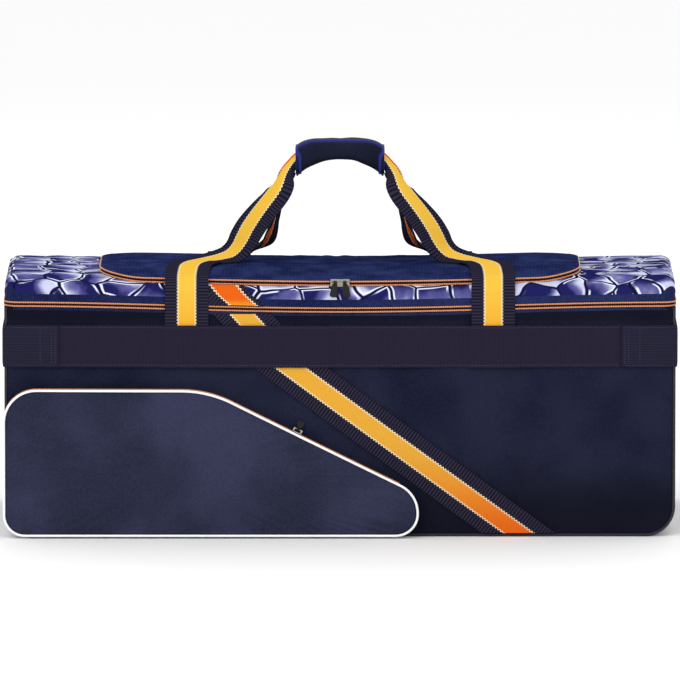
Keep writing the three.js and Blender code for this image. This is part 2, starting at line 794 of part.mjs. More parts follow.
function makeStrap(side) {
  const left = strapLeg(side);
  const right = left.map(({ centre, facing, ...bend }) => ({
    centre: point(-centre.x, centre.y, centre.z),
    facing: point(-facing.x, facing.y, facing.z),
    ...bend,
  }));
  return ribbon([...left, ...right.reverse()], strapWidth, webbing, 4);
}

// Padded sleeve round both straps, open at its ends where they come out.
function makeGripWrap() {
  const halfGrip = gripLength / 2;
  const columns = [-1, -0.88, -0.7, -0.35, 0, 0.35, 0.7, 0.88, 1];
  const sides = 16;
  const section = (share, inset) => {
    const end = Math.abs(share) ** 6;
    const top = gripTop - gripShoulder * end - inset;
    const bottom = gripTop - gripHeight - gripDroop * share ** 2 - 1.5 * gripFlare * end + inset;
    const half = gripDepth / 2 + gripFlare * end - inset;
    return (angle) => {
      const square = Math.sin(angle) < 0 ? lerp(gripSquareness, 0.9, end) : gripSquareness;
      const round = (value) => Math.sign(value) * Math.abs(value) ** square;
      const y = half * round(Math.cos(angle));
      const z = (top + bottom) / 2 + ((top - bottom) / 2) * round(Math.sin(angle));
      return point(share * halfGrip, y, z);
    };
  };
  const rings = spread(0, 2 * Math.PI, sides)
    .slice(0, sides)
    .map((angle) => [
      ...columns.map((share) => section(share, 0)(angle)),
      ...columns.map((share) => section(share, gripPad)(angle)).reverse(),
    ]);
  return loft(rings, true);
}

// Zip sliders and pullers. A slider's own X runs along its zip and -Y out from the cloth.

const eyeInside = bridgeRadius + eyeClearance;
const eyeOutside = eyeInside + eyeWall;
const bridgeOut = sliderBody + eyeOutside + ease;

// Joins closed geometries into one body.
function join(geometries) {
  const solids = geometries.map((geometry) => {
    const bare = geometry.index ? geometry.toNonIndexed() : geometry.clone();
    bare.deleteAttribute("normal");
    bare.deleteAttribute("uv");
    const merged = mergeVertices(bare, 1e-4);
    const vertProperties = new Float32Array(merged.attributes.position.array);
    const triVerts = new Uint32Array(merged.index.array);
    return new wasm.Manifold(new wasm.Mesh({ numProp: 3, vertProperties, triVerts }));
  });
  const mesh = solids.reduce((whole, solid) => whole.add(solid)).getMesh();
  const geometry = new THREE.BufferGeometry();
  geometry.setAttribute("position", new THREE.BufferAttribute(mesh.vertProperties, 3));
  geometry.setIndex(new THREE.BufferAttribute(mesh.triVerts, 1));
  geometry.computeVertexNormals();
  return geometry;
}

function makeSlider() {
  const postWidth = 2;
  const postX = (sliderLength - postWidth) / 2;
  const postReach = bridgeOut + bridgeRadius - sliderBody / 2;
  const plate = new THREE.BoxGeometry(sliderLength, sliderBody, sliderWidth);
  plate.translate(0, -sliderBody / 2, 0);
  const posts = [-postX, postX].map((x) =>
    new THREE.BoxGeometry(postWidth, postReach, 3 * bridgeRadius).translate(
      x,
      -sliderBody / 2 - postReach / 2,
      0,
    ),
  );
  const bridge = new THREE.CylinderGeometry(bridgeRadius, bridgeRadius, 2 * postX, 10);
  bridge.rotateZ(Math.PI / 2).translate(0, -bridgeOut, 0);
  return join([plate, ...posts, bridge]);
}

// A puller hangs down its own -Z from the eye, which is at its origin.
function makePuller(length, fan) {
  const ring = new THREE.Shape();
  ring.absarc(0, 0, eyeOutside, 0, 2 * Math.PI);
  const hole = new THREE.Path();
  hole.absarc(0, 0, eyeInside, 0, 2 * Math.PI, true);
  ring.holes.push(hole);
  const eye = new THREE.ExtrudeGeometry(ring, {
    depth: eyeWidth,
    bevelEnabled: false,
    curveSegments: 7,
  });
  eye.translate(0, 0, -eyeWidth / 2).rotateY(Math.PI / 2);
  const neck = (eyeInside + eyeOutside) / 2;
  const half = pullerWidth / 2;
  const tab = new THREE.Shape();
  tab.moveTo(-eyeWidth / 2, -neck);
  tab.lineTo(-half, -neck - half);
  tab.lineTo(-half * 1.1, -length + half / 2);
  tab.quadraticCurveTo(-half, -length, 0, -length);
  tab.quadraticCurveTo(half, -length, half * 1.1, -length + half / 2);
  tab.lineTo(half, -neck - half);
  tab.lineTo(eyeWidth / 2, -neck);
  tab.closePath();
  const plate = new THREE.ExtrudeGeometry(tab, {
    depth: pullerPlate,
    bevelEnabled: false,
    curveSegments: 4,
  });
  plate.translate(0, 0, -pullerPlate / 2).rotateX(Math.PI / 2);
  plate.rotateY(fan);
  return join([eye, plate]);
}

// Places a slider on its zip with its puller at rest. tilt is how far the puller leans out.
function addSlider(name, place, basis, puller, tilt) {
  const slider = addPart(`${name}_slider`, makeSlider(), steel);
  slider.applyMatrix4(basis.clone().setPosition(place));
  const pull = addPart(`${name}_puller`, puller, blackRubber);
  const axis = point(0, -bridgeOut, 0).applyMatrix4(basis).add(place);
  const lean = new THREE.Matrix4().makeRotationX(-degrees(tilt));
  pull.applyMatrix4(basis.clone().multiply(lean).setPosition(axis));
}

function addLidSlider(side) {
  const x = side * (sliderLength + gap) / 2;
  const y = lidPocketSetBack - halfDepth - lidPocketZipProud - gap;
  const z = lidAt(0, y) + lidPocketWall / 2 + sliderLift;
  const puller = makePuller(pullerLength, -side * degrees(pullerFan));
  const name = side < 0 ? "lid_pocket_left" : "lid_pocket_right";
  addSlider(name, point(x, y, z), new THREE.Matrix4(), puller, lidPullerTilt);
}

function addFrontSlider() {
  const crest = new THREE.Vector2(pocketStart + pocketCrest, pocketTop);
  const toe = new THREE.Vector2(pocketStart + pocketReach, pocketToe);
  const along = toe.clone().sub(crest).normalize();
  const out = new THREE.Vector2(-along.y, along.x);
  const spot = crest.clone().lerp(toe, frontSliderShare).addScaledVector(out, 2 * gap + tape);
  const middle = gap + pocketWall * pocketZipEnd.proud;
  const place = onPanel(-1, spot.x, spot.y, middle);
  const basis = new THREE.Matrix4().makeBasis(
    point(-along.x, 0, -along.y),
    point(-out.x, 0, -out.y),
    point(0, -1, 0),
  );
  const puller = makePuller(frontPullerLength, 0);
  addSlider("front_pocket", place, basis, puller, frontPullerTilt);
}

addPart("front_panel", makePanel(-1), navy);
addPart("back_panel", makePanel(1), navy);
addPart("end_panel_left", makeEndPanel(-1), navy);
addPart("end_panel_right", makeEndPanel(1), navy);
addPart("base_panel", makeBase(), navy);
addPart("front_edge_piping", makeEdgePiping(-1), navy);
addPart("back_edge_piping", makeEdgePiping(1), navy);
addPart("main_zip", makeMainZip(), zipTape);
addPart("lid", makeLid(), printed);
addPart("lid_pocket", makeLidPocket(), ripstop);
addPart("lid_pocket_zip", makeLidPocketZip(), zipTape);
addPart("front_pocket", makeFrontPocket(), navy);
addPart("front_pocket_piping", makePocketPiping(), white);
addPart("front_pocket_zip", makePocketZip(), zipTape);
addPart("belt_front", makeBelt(-1), webbingDark);
addPart("belt_back", makeBelt(1), webbingDark);
addPart("sloping_band", makeSlopingBand(), webbingYellow);
addPart("end_handle_left", makeEndHandle(-1), webbingDark);
addPart("end_handle_right", makeEndHandle(1), webbingDark);
addPart("front_strap", makeStrap(-1), webbingYellow);
addPart("rear_strap", makeStrap(1), webbingYellow);
addPart("grip_wrap", makeGripWrap(), navy);
addPart("lid_band", makeLidBand(), webbingYellow);
addLidSlider(-1);
addLidSlider(1);
addFrontSlider();

export default bag;
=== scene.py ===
"""Looks of a soft cricket kit bag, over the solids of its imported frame.

Every surface is worked out with numpy in millimetres, in the frame's own axes: X is the
length, -Y the front, +Z up, and the origin is under the middle of the base. add_piece
turns the points into metres.
"""

import math
from types import SimpleNamespace

import bmesh
import bpy
import numpy as np
from bpy.props import FloatProperty, FloatVectorProperty, PointerProperty
from bpy.types import Operator, Panel, PropertyGroup
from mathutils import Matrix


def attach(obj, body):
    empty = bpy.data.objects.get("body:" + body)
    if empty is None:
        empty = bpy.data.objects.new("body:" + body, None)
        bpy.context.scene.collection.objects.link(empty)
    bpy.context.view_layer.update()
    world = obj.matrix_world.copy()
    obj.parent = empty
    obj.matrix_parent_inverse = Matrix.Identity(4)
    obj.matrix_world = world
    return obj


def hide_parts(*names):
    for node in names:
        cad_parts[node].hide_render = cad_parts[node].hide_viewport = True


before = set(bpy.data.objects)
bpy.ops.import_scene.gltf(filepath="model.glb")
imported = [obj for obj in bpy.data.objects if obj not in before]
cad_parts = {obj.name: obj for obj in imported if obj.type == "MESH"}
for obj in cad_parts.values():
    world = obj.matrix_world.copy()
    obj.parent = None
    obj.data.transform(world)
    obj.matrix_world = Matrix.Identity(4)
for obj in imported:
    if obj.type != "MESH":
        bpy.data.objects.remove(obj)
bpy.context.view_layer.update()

bl_info = {
    "name": "Cricket Kit Bag",
    "version": (1, 0, 0),
    "blender": (4, 5, 0),
    "location": "3D View > Sidebar > Kit Bag",
    "description": "Builds a soft cricket kit bag with its pockets, zips, webbing and grip",
    "category": "Object",
}

# Form that the solids share, in millimetres, or as shares where a comment says so. A puff
# is how far a pocket's face swells, a droop how far the grip's ends hang, and a wall how
# far a pocket's side stands off what carries it.
HALF_LENGTH = 447.0
HALF_DEPTH = 170.0
ZIP_LINE = 313.0
ZIP_SAG = 8.0
LID_RISE = 24.0
LID_SKIRT = 9.0
# Shares of the rise that is lost at the back, and of the half length that the spine reaches
LID_FALL = 0.6
LID_SPINE = 0.66
LID_SQUARENESS = 3.5
LID_CORNER = 18.0
LID_END_ROUND = 14.0
FLOOR_CORNER = 40.0
BELLY = 8.0
END_DISH = 16.0
CLOTH = 2.5
WEBBING = 2.2
GAP = 0.3
EASE = 0.4
PIPING = 2.2
ZIP_WIDTH = 9.0
PANEL_INSET = 2 * PIPING + 2 * GAP
GUSSET_EDGE = HALF_DEPTH - 2 * PIPING - GAP
CORNER_START = HALF_LENGTH - FLOOR_CORNER
SKIRT_FOOT = ZIP_WIDTH / 2 + GAP
# The radii of the lid pocket's corners are shares of its depth
LID_POCKET = SimpleNamespace(
    length=636.0, depth=290.0, set_back=15.0, wall=7.0, puff=3.0, near_round=0.2, far_round=0.42
)
POCKET = SimpleNamespace(
    start=-446.0, lift=5.5, top=198.0, crest=270.0, reach=548.0, toe=60.0, wall=17.0, puff=9.0
)
# The pocket's corners anticlockwise from the low left one, and its fullest place as shares of
# its reach and height
POCKET_ROUNDS = (26.0, 28.0, 40.0, 150.0, 42.0)
POCKET_HEART = (0.42, 0.48)
# Ends of the pocket's zip: lowest point on the slope in toes, lowest point on the left in
# pocket heights, how far along that end reaches, and how proud the zip is in pocket walls
POCKET_ZIP = SimpleNamespace(low=1.2, high=0.75, along=40.0, proud=0.55, tape=6.0)
# The lid pocket's zip: its foot above the lid, its width, how far it stands off the pocket
# and the Y at which its ends stop
LID_ZIP = SimpleNamespace(foot=0.3, width=6.8, off=1.6, end=70.0)
BELT = SimpleNamespace(bottom=229.0, top=285.0, tab=72.0, ramp=8.0)
STRAP = SimpleNamespace(width=58.0, spread=408.0, rear_spread=300.0, tuck=243.0)
HANDLE_BEND = 4.0
GRIP = SimpleNamespace(
    top=512.0,
    length=119.0,
    height=23.5,
    depth=60.0,
    pad=2.5,
    squareness=0.45,
    droop=21.0,
    shoulder=13.0,
    flare=3.0,
)
# Sloping band: height on the front panel, middle and half of its run along the panel
BAND_HEIGHT = np.array([PANEL_INSET + GAP, 231.0, 286.0, 300.0])
BAND_MIDDLE = np.array([0.5324, -0.1544, -0.2617, -0.2908]) * HALF_LENGTH
BAND_RUN = np.array([0.8431, 0.8431, 0.6724, 0.6724]) * STRAP.width
# The band's piece on the lid: its height above the skirt's foot, where its middle stands
# there, how far that moves for each millimetre up, half its run and its stripe's shift
LID_BAND = SimpleNamespace(rise=23.5, start=-139.0, slope=1.16, half=38.0, shift=7.0)
# Distances of the stitches from an edge, from a corner and from a handle's sewn end, and
# how far their ends dip into the webbing and their middles stand out of it
STITCH = SimpleNamespace(edge=3.0, corner=8.0, rows=(4.0, 9.0, 24.0), dip=0.35, stand=0.12)


def linear(text):
    """The linear colour of an sRGB hex one, with full alpha."""
    channels = [int(text[i : i + 2], 16) / 255 for i in (1, 3, 5)]
    turned = [c / 12.92 if c <= 0.04045 else ((c + 0.055) / 1.055) ** 2.4 for c in channels]
    return (*turned, 1.0)


def millimetres(group):
    """A property group's values, with every length turned from metres to millimetres."""
    values = {}
    for item in group.bl_rna.properties:
        if item.identifier not in ("rna_type", "name"):
            value = getattr(group, item.identifier)
            values[item.identifier] = value * 1000 if getattr(item, "unit", "") == "LENGTH" else value
    return SimpleNamespace(**values)


# Surfaces that several pieces share


def zip_height(x):
    """Height of the middle of the main zip: the zip line less a sag of cosine squared."""
    return ZIP_LINE - ZIP_SAG * np.cos(np.pi * x / (2 * HALF_LENGTH)) ** 2


def belly(x, z):
    """How far a long panel bulges: a parabola along it times half a sine wave up it."""
    along = np.clip(1 - (x / HALF_LENGTH) ** 2, 0, None)
    return BELLY * along * np.sin(np.pi * np.clip(z / ZIP_LINE, 0, 1))


def on_panel(side, x, z, proud):
    """Points a distance proud of the front (side -1) or back (side 1) panel."""
    return np.stack(np.broadcast_arrays(x, side * (HALF_DEPTH + belly(x, z) + proud), z), -1)


def lid_height(x, y, inset=0.0):
    """Height of the lid: a superellipse across it that falls by a square towards the back,
    rounded off at both ends by a circle."""
    reach = np.clip(np.abs(y) / (HALF_DEPTH - inset), 0, 1)
    across = (1 - reach**LID_SQUARENESS) ** (1 / LID_SQUARENESS)
    over = np.clip((np.abs(x) - (HALF_LENGTH - LID_END_ROUND)) / (LID_END_ROUND - inset), 0, 1)
    fall = 1 - LID_FALL * ((y + HALF_DEPTH) / (2 * HALF_DEPTH)) ** 2
    return zip_height(x) + SKIRT_FOOT + LID_SKIRT - inset + LID_RISE * across * np.sqrt(
        1 - over**2
    ) * fall


def folds(a, b, seed, length, waves=9):
    """Soft unevenness of about -1 to 1: a mean of sine waves in seeded directions, whose
    lengths spread from half to twice the given one."""
    random = np.random.default_rng(seed)
    total = np.zeros(np.broadcast(a, b).shape)
    for turn, phase, stretch in random.random((waves, 3)):
        wave = length * 2 ** (2 * stretch - 1)
        run = a * math.cos(2 * math.pi * turn) + b * math.sin(2 * math.pi * turn)
        total += np.sin(2 * np.pi * (run / wave + phase))
    return total / math.sqrt(waves)


def ramp(value, start, end):
    """A smooth step from 0 at start to 1 at end."""
    share = np.clip((value - start) / (end - start), 0, 1)
    return share * share * (3 - 2 * share)


# Grids turned into meshes


def unit(vectors):
    """Vectors divided by their lengths."""
    return vectors / np.maximum(np.linalg.norm(vectors, axis=-1, keepdims=True), 1e-9)


def grid_faces(rows, columns, close_rows=False, close_columns=False):
    """Four-cornered faces of a grid of points, numbered row by row."""
    down = np.arange(rows if close_rows else rows - 1)
    right = np.arange(columns if close_columns else columns - 1)
    i, j = np.meshgrid(down, right, indexing="ij")
    i2, j2 = (i + 1) % rows, (j + 1) % columns
    corners = [i * columns + j, i * columns + j2, i2 * columns + j2, i2 * columns + j]
    return np.stack(corners, -1).reshape(-1, 4)


def face_map(u, v):
    """Map values at the corners of a grid's faces, from values at its rows and columns."""
    uv = np.stack(np.broadcast_arrays(u, v), -1)
    return np.stack([uv[:-1, :-1], uv[:-1, 1:], uv[1:, 1:], uv[1:, :-1]], -2).reshape(-1, 4, 2)


def along_grid(points, axis):
    """Distance along the rows or the columns of a grid, from its first point."""
    steps = np.linalg.norm(np.diff(points, axis=axis), axis=-1)
    return np.cumsum(np.insert(steps, 0, 0, axis=axis), axis=axis)


def run_length(path):
    """Distance along a path at each of its points."""
    return along_grid(path, 0)


def grid_normals(points, close_rows=False):
    """Unit normals of a grid: the cross product of its two central differences."""
    if close_rows:
        down = np.roll(points, -1, 0) - np.roll(points, 1, 0)
    else:
        down = np.gradient(points, axis=0)
    return unit(np.cross(down, np.gradient(points, axis=1)))


def cloth_wall(points, thickness, u=None, v=None, close_rows=False, tip=None):
    """Points, faces and face map of a cloth with a thickness: the grid, the same grid
    moved back along its normals, and a rim that joins them. Normals must point out. tip
    is the normal of a last column that draws in to a point or a line."""
    rows, columns = points.shape[:2]
    normals = grid_normals(points, close_rows)
    if tip is not None:
        normals[:, -1] = tip
    back = points - thickness * normals
    ring = np.concatenate([points, back[:, ::-1]], 1)
    faces = [grid_faces(rows, 2 * columns, close_rows, True)]
    u = along_grid(points, 0) if u is None else np.broadcast_to(u, points.shape[:2])
    v = along_grid(points, 1) if v is None else np.broadcast_to(v, points.shape[:2])
    if close_rows:
        u = np.concatenate([u, u[-1:] + (u[-1:] - u[-2:-1])])
        v = np.concatenate([v, v[:1]])
    both = [np.concatenate([value, value[:, ::-1], value[:, :1]], 1) for value in (u, v)]
    maps = [face_map(*both)]
    if not close_rows:
        for row, flip in ((0, False), (rows - 1, True)):
            index = row * 2 * columns
            j = np.arange(columns - 1)
            cap = np.stack(
                [index + j, index + 2 * columns - 1 - j, index + 2 * columns - 2 - j, index + j + 1], -1
            )
            corner = np.stack([u[row, :-1], v[row, :-1]], -1), np.stack([u[row, 1:], v[row, 1:]], -1)
            placed = np.stack([corner[0], corner[0], corner[1], corner[1]], -2)
            faces.append(cap[:, ::-1] if flip else cap)
            maps.append(placed[:, ::-1] if flip else placed)
    return ring.reshape(-1, 3), np.concatenate(faces), np.concatenate(maps)


def cord_body(path, radius, sides, close=False, squash=1.0, up=(0, -1, 0)):
    """A round cord along a path: a circle in the plane across the path, which may be
    flattened towards the up direction."""
    path = np.asarray(path, float)
    if close:
        along = unit(np.roll(path, -1, 0) - np.roll(path, 1, 0))
    else:
        along = unit(np.gradient(path, axis=0))
    up = np.broadcast_to(np.asarray(up, float), path.shape)
    out = unit(up - (up * along).sum(-1, keepdims=True) * along)
    side = np.cross(along, out)
    angle = np.linspace(0, 2 * np.pi, sides, endpoint=False)
    ring = radius * (
        np.cos(angle)[:, None] * side[:, None] + squash * np.sin(angle)[:, None] * out[:, None]
    )
    points = path[:, None] + ring
    faces = [grid_faces(len(path), sides, close, True)]
    length = run_length(path)
    if close:
        length = np.append(length, length[-1] + np.linalg.norm(path[0] - path[-1]))
    turn = np.linspace(0, 2 * np.pi * radius, sides + 1)
    maps = [face_map(length[:, None], turn[None, :])]
    points = points.reshape(-1, 3)
    if not close:
        centres = len(points) + np.arange(2)
        points = np.concatenate([points, path[[0, -1]]])
        j = np.arange(sides)
        for start, centre, flip in (
            (0, centres[0], True), ((len(path) - 1) * sides, centres[1], False)
        ):
            pairs = j.reshape(-1, 2)
            cap = np.stack(
                [
                    start + pairs[:, 0],
                    start + pairs[:, 1],
                    start + (pairs[:, 1] + 1) % sides,
                    np.full(len(pairs), centre),
                ],
                -1,
            )
            faces.append(cap[:, ::-1] if flip else cap)
            maps.append(np.zeros((len(cap), 4, 2)))
    return points, np.concatenate(faces), np.concatenate(maps)


def joined(*bodies):
    """Several bodies of points, faces and face maps as one."""
    points, faces, maps, count = [], [], [], 0
    for body in bodies:
        points.append(body[0])
        faces.append(body[1] + count)
        maps.append(body[2])
        count += len(body[0])
    return np.concatenate(points), np.concatenate(faces), np.concatenate(maps)


def smooth_path(points, count):
    """A curve of Catmull and Rom through points, at evenly spaced shares of its length."""
    points = np.asarray(points, float)
    padded = np.concatenate([2 * points[:1] - points[1:2], points, 2 * points[-1:] - points[-2:-1]])
    steps = np.linspace(0, len(points) - 1, 24 * (len(points) - 1) + 1)
    k = np.minimum(steps.astype(int), len(points) - 2)
    t = (steps - k)[:, None]
    a, b, c, d = (padded[k + n] for n in range(4))
    curve = 0.5 * (
        2 * b + (c - a) * t + (2 * a - 5 * b + 4 * c - d) * t**2 + (3 * b - a - 3 * c + d) * t**3
    )
    length = run_length(curve[:, :3])
    even = np.linspace(0, length[-1], count)
    return np.stack([np.interp(even, length, column) for column in curve.T], -1)


def add_piece(name, body, materials, hides=(), face_slots=None, crease=40.0):
    """Makes the object, turns its faces outwards by the sign of its volume, smooths it
    between creases and ties it to the bag."""
    points, faces, corners = body
    points = points * 0.001
    a, b, c, d = (points[faces[:, k]] for k in range(4))
    volume = (a * np.cross(b, c)).sum() + (a * np.cross(c, d)).sum()
    if volume < 0:
        faces = faces[:, ::-1]
        corners = corners[:, ::-1]
    mesh = bpy.data.meshes.new(name)
    mesh.vertices.add(len(points))
    mesh.vertices.foreach_set("co", points.ravel())
    mesh.loops.add(faces.size)
    mesh.loops.foreach_set("vertex_index", faces.ravel().astype(np.int32))
    mesh.polygons.add(len(faces))
    mesh.polygons.foreach_set("loop_start", np.arange(len(faces), dtype=np.int32) * 4)
    layer = mesh.uv_layers.new(name="UVMap")
    layer.uv.foreach_set("vector", np.ascontiguousarray(corners, dtype=np.float32).ravel())
    if face_slots is not None:
        mesh.polygons.foreach_set("material_index", np.asarray(face_slots, dtype=np.int32))
    mesh.update(calc_edges=True)
    welded = bmesh.new()
    welded.from_mesh(mesh)
    bmesh.ops.remove_doubles(welded, verts=welded.verts, dist=2e-6)
    welded.to_mesh(mesh)
    welded.free()
    mesh.shade_smooth()
    mesh.set_sharp_from_angle(angle=math.radians(crease))
    for material in materials:
        mesh.materials.append(material)
    piece = bpy.data.objects.new(name, mesh)
    bpy.context.scene.collection.objects.link(piece)
    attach(piece, "bag")
    if hides:
        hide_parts(*hides)
    return piece


# Materials. Sizes are in metres where a pattern reads Object coordinates, and in
# millimetres where it reads the piece's own map.

SMOOTH = {"interpolation_type": "SMOOTHSTEP"}
COLOUR = {"data_type": "RGBA"}


def add_node(tree, kind, inputs=(), output=0, **settings):
    """Adds a shader node, sets its settings, gives its inputs their values or links, by
    place or by key, and returns one of its outputs, or all where output is None."""
    made = tree.nodes.new("ShaderNode" + kind)
    for key, value in settings.items():
        setattr(made, key, value)
    for key, value in inputs.items() if isinstance(inputs, dict) else enumerate(inputs):
        if isinstance(value, bpy.types.NodeSocket):
            tree.links.new(value, made.inputs[key])
        else:
            made.inputs[key].default_value = value
    return made.outputs if output is None else made.outputs[output]


def new_material(name, **surface):
    """A material with one Principled shader, whose even values are set on its sockets."""
    material = bpy.data.materials.new(name)
    material.use_nodes = True
    tree = material.node_tree
    shader = tree.nodes["Principled BSDF"]
    for key, value in surface.items():
        shader.inputs[key.replace("_", " ")].default_value = value
    return material, tree, shader


def weighted(tree, *pairs):
    """The sum of some values, each times its weight."""
    total = 0.0
    for value, weight in pairs:
        total = add_node(tree, "Math", (value, weight, total), operation="MULTIPLY_ADD")
    return total


def rib(tree, value, pitch):
    """A rounded rib that repeats at a pitch: half a sine of the value, plus a half."""
    turn = add_node(tree, "Math", (value, 2 * math.pi / pitch), operation="MULTIPLY")
    sine = add_node(tree, "Math", (turn,), operation="SINE")
    return add_node(tree, "Math", (sine, 0.5, 0.5), operation="MULTIPLY_ADD")


def relief(tree, shader, height, depth, before=None):
    """Bump of a depth in metres from a height between 0 and 1."""
    inputs = {"Height": height, "Distance": depth, "Strength": 1.0}
    if before is not None:
        inputs["Normal"] = before
    bump = add_node(tree, "Bump", inputs)
    tree.links.new(bump, shader.inputs["Normal"])
    return bump


def coated_polyester(name, dark, light, weave=2.4, foot=None):
    """Woven polyester with a coated back: matte, a little lighter in broad random patches of
    painted sheen, with a plain weave. Its threads are 0.5 mm apart, and are drawn at 2.4 mm
    to show. Where a foot colour is given, painted shade darkens the cloth to it towards the
    floor and just below the zip, in the lid's shadow."""
    material, tree, shader = new_material(name, Roughness=0.62, Specular_IOR_Level=0.03)
    place = add_node(tree, "TexCoord", output="Object")
    x, y, z = add_node(tree, "SeparateXYZ", (place,), None)
    threads = weighted(tree, *((rib(tree, axis, weave / 1000), 1 / 3) for axis in (x, y, z)))
    # Painted sheen: broad random patches where the cloth is a little lighter
    broad = add_node(tree, "TexNoise", {"Vector": place, "Scale": 1 / 0.11, "Detail": 2.5})
    sheen_patches = add_node(tree, "MapRange", (broad, 0.3, 0.7), **SMOOTH)
    speckle = add_node(tree, "TexNoise", {"Vector": place, "Scale": 1 / 0.0028, "Detail": 2.0})
    slubs = add_node(tree, "MapRange", (speckle, 0.36, 0.64), **SMOOTH)
    tone = weighted(tree, (sheen_patches, 0.72), (slubs, 0.28))
    colour = add_node(tree, "Mix", {0: tone, 6: dark, 7: light}, 2, **COLOUR)
    # Painted shade: the cloth darkens towards the floor and just below the zip, under the lid's
    # overhang
    if foot is not None:
        low = add_node(tree, "MapRange", (z, 0.12, 0.03), **SMOOTH)
        high = add_node(tree, "MapRange", (z, 0.28, 0.296), **SMOOTH)
        ends = add_node(tree, "Math", (low, high), operation="MAXIMUM")
        shaded = add_node(tree, "Math", (ends, 0.75), operation="MULTIPLY")
        colour = add_node(tree, "Mix", {0: shaded, 6: colour, 7: foot}, 2, **COLOUR)
    tree.links.new(colour, shader.inputs["Base Color"])
    creases = add_node(tree, "TexNoise", {"Vector": place, "Scale": 1 / 0.06, "Detail": 3.0})
    soft = relief(tree, shader, creases, 0.004)
    relief(tree, shader, threads, 0.00022, soft)
    return material


def ripstop(name, dark, light, line):
    """Thin ripstop nylon: a square grid of thicker threads, 5 mm wide as woven, in a matte
    crinkled cloth."""
    material, tree, shader = new_material(name, Roughness=0.5, Specular_IOR_Level=0.0)
    mapped = add_node(tree, "UVMap", uv_map="UVMap")
    u, v, _ = add_node(tree, "SeparateXYZ", (mapped,), None)
    grid = add_node(tree, "Math", (rib(tree, u, 5.0), rib(tree, v, 5.0)), operation="MAXIMUM")
    lines = add_node(tree, "MapRange", (grid, 0.86, 0.99), **SMOOTH)
    faint = add_node(tree, "Math", (lines, 0.35), operation="MULTIPLY")
    place = add_node(tree, "TexCoord", output="Object")
    lumps = {"Vector": place, "Scale": 1 / 0.03, "Detail": 4.0, "Roughness": 0.6}
    crinkle = add_node(tree, "TexNoise", lumps)
    # Painted shade and light: the colour follows the crinkles' bump, darker in their hollows and
    # lighter on their lumps
    lit = add_node(tree, "MapRange", (crinkle, 0.35, 0.7), **SMOOTH)
    colour = add_node(tree, "Mix", {0: lit, 6: dark, 7: light}, 2, **COLOUR)
    colour = add_node(tree, "Mix", {0: faint, 6: colour, 7: line}, 2, **COLOUR)
    tree.links.new(colour, shader.inputs["Base Color"])
    soft = relief(tree, shader, crinkle, 0.005)
    relief(tree, shader, lines, 0.00025, soft)
    return material


def pebble_print(name, look):
    """Polyester printed with a loose pattern of rounded stones: each is shaded from one
    side to the other, with a pale rim and a dark joint. The map is the cloth laid flat."""
    material, tree, shader = new_material(name, Roughness=0.55, Specular_IOR_Level=0.0)
    mapped = add_node(tree, "UVMap", uv_map="UVMap")
    sway = add_node(tree, "TexNoise", {"Vector": mapped, "Scale": 1 / 45, "Detail": 1.0}, 1)
    swayed = add_node(tree, "VectorMath", (sway, (26.0, 18.0, 0.0)), operation="MULTIPLY")
    bent = add_node(tree, "VectorMath", (mapped, swayed), operation="ADD")
    scale = (1 / look.cell, 1.15 / look.cell, 0.0)
    shrunk = add_node(tree, "VectorMath", (bent, scale), operation="MULTIPLY")
    stones = {"Vector": shrunk, "Scale": 1.0, "Randomness": 0.8}
    cell = add_node(tree, "TexVoronoi", stones, None, voronoi_dimensions="2D")
    edge = add_node(tree, "TexVoronoi", stones, voronoi_dimensions="2D", feature="DISTANCE_TO_EDGE")
    inside = add_node(tree, "VectorMath", (shrunk, cell["Position"]), operation="SUBTRACT")
    lean = add_node(tree, "VectorMath", (cell["Color"], (0.3, 0.6, 0.5)), operation="SUBTRACT")
    across = add_node(tree, "VectorMath", (inside, lean), 1, operation="DOT_PRODUCT")
    smudge = add_node(tree, "TexNoise", {"Vector": bent, "Scale": 1 / 22, "Detail": 3.0})
    shade = weighted(tree, (across, 3.0), (1.0, 0.1), (smudge, 0.8))
    # A stone goes from its dark side over its middle to its pale side
    middle = add_node(tree, "MapRange", (shade, 0.1, 0.5), **SMOOTH)
    pale = add_node(tree, "MapRange", (shade, 0.45, 0.95), **SMOOTH)
    colour = add_node(tree, "Mix", {0: middle, 6: look.deep, 7: look.mid}, 2, **COLOUR)
    colour = add_node(tree, "Mix", {0: pale, 6: colour, 7: look.pale}, 2, **COLOUR)
    # Distances from a joint, as shares of a stone
    joint = add_node(tree, "MapRange", (edge, 0.055, 0.03), **SMOOTH)
    colour = add_node(tree, "Mix", {0: joint, 6: colour, 7: look.joint}, 2, **COLOUR)
    rim_start = add_node(tree, "MapRange", (edge, 0.045, 0.06), **SMOOTH)
    rim_end = add_node(tree, "MapRange", (edge, 0.12, 0.095), **SMOOTH)
    rim = add_node(tree, "Math", (rim_start, rim_end), operation="MULTIPLY")
    worn = add_node(tree, "TexNoise", {"Vector": shrunk, "Scale": 1 / 0.8, "Detail": 1.0})
    streak = add_node(tree, "MapRange", (worn, 0.42, 0.52), **SMOOTH)
    rim = add_node(tree, "Math", (rim, streak), operation="MULTIPLY")
    colour = add_node(tree, "Mix", {0: rim, 6: colour, 7: look.rim}, 2, **COLOUR)
    tree.links.new(colour, shader.inputs["Base Color"])
    place = add_node(tree, "TexCoord", output="Object")
    creases = add_node(tree, "TexNoise", {"Vector": place, "Scale": 1 / 0.04, "Detail": 3.0})
    relief(tree, shader, creases, 0.004)
    return material


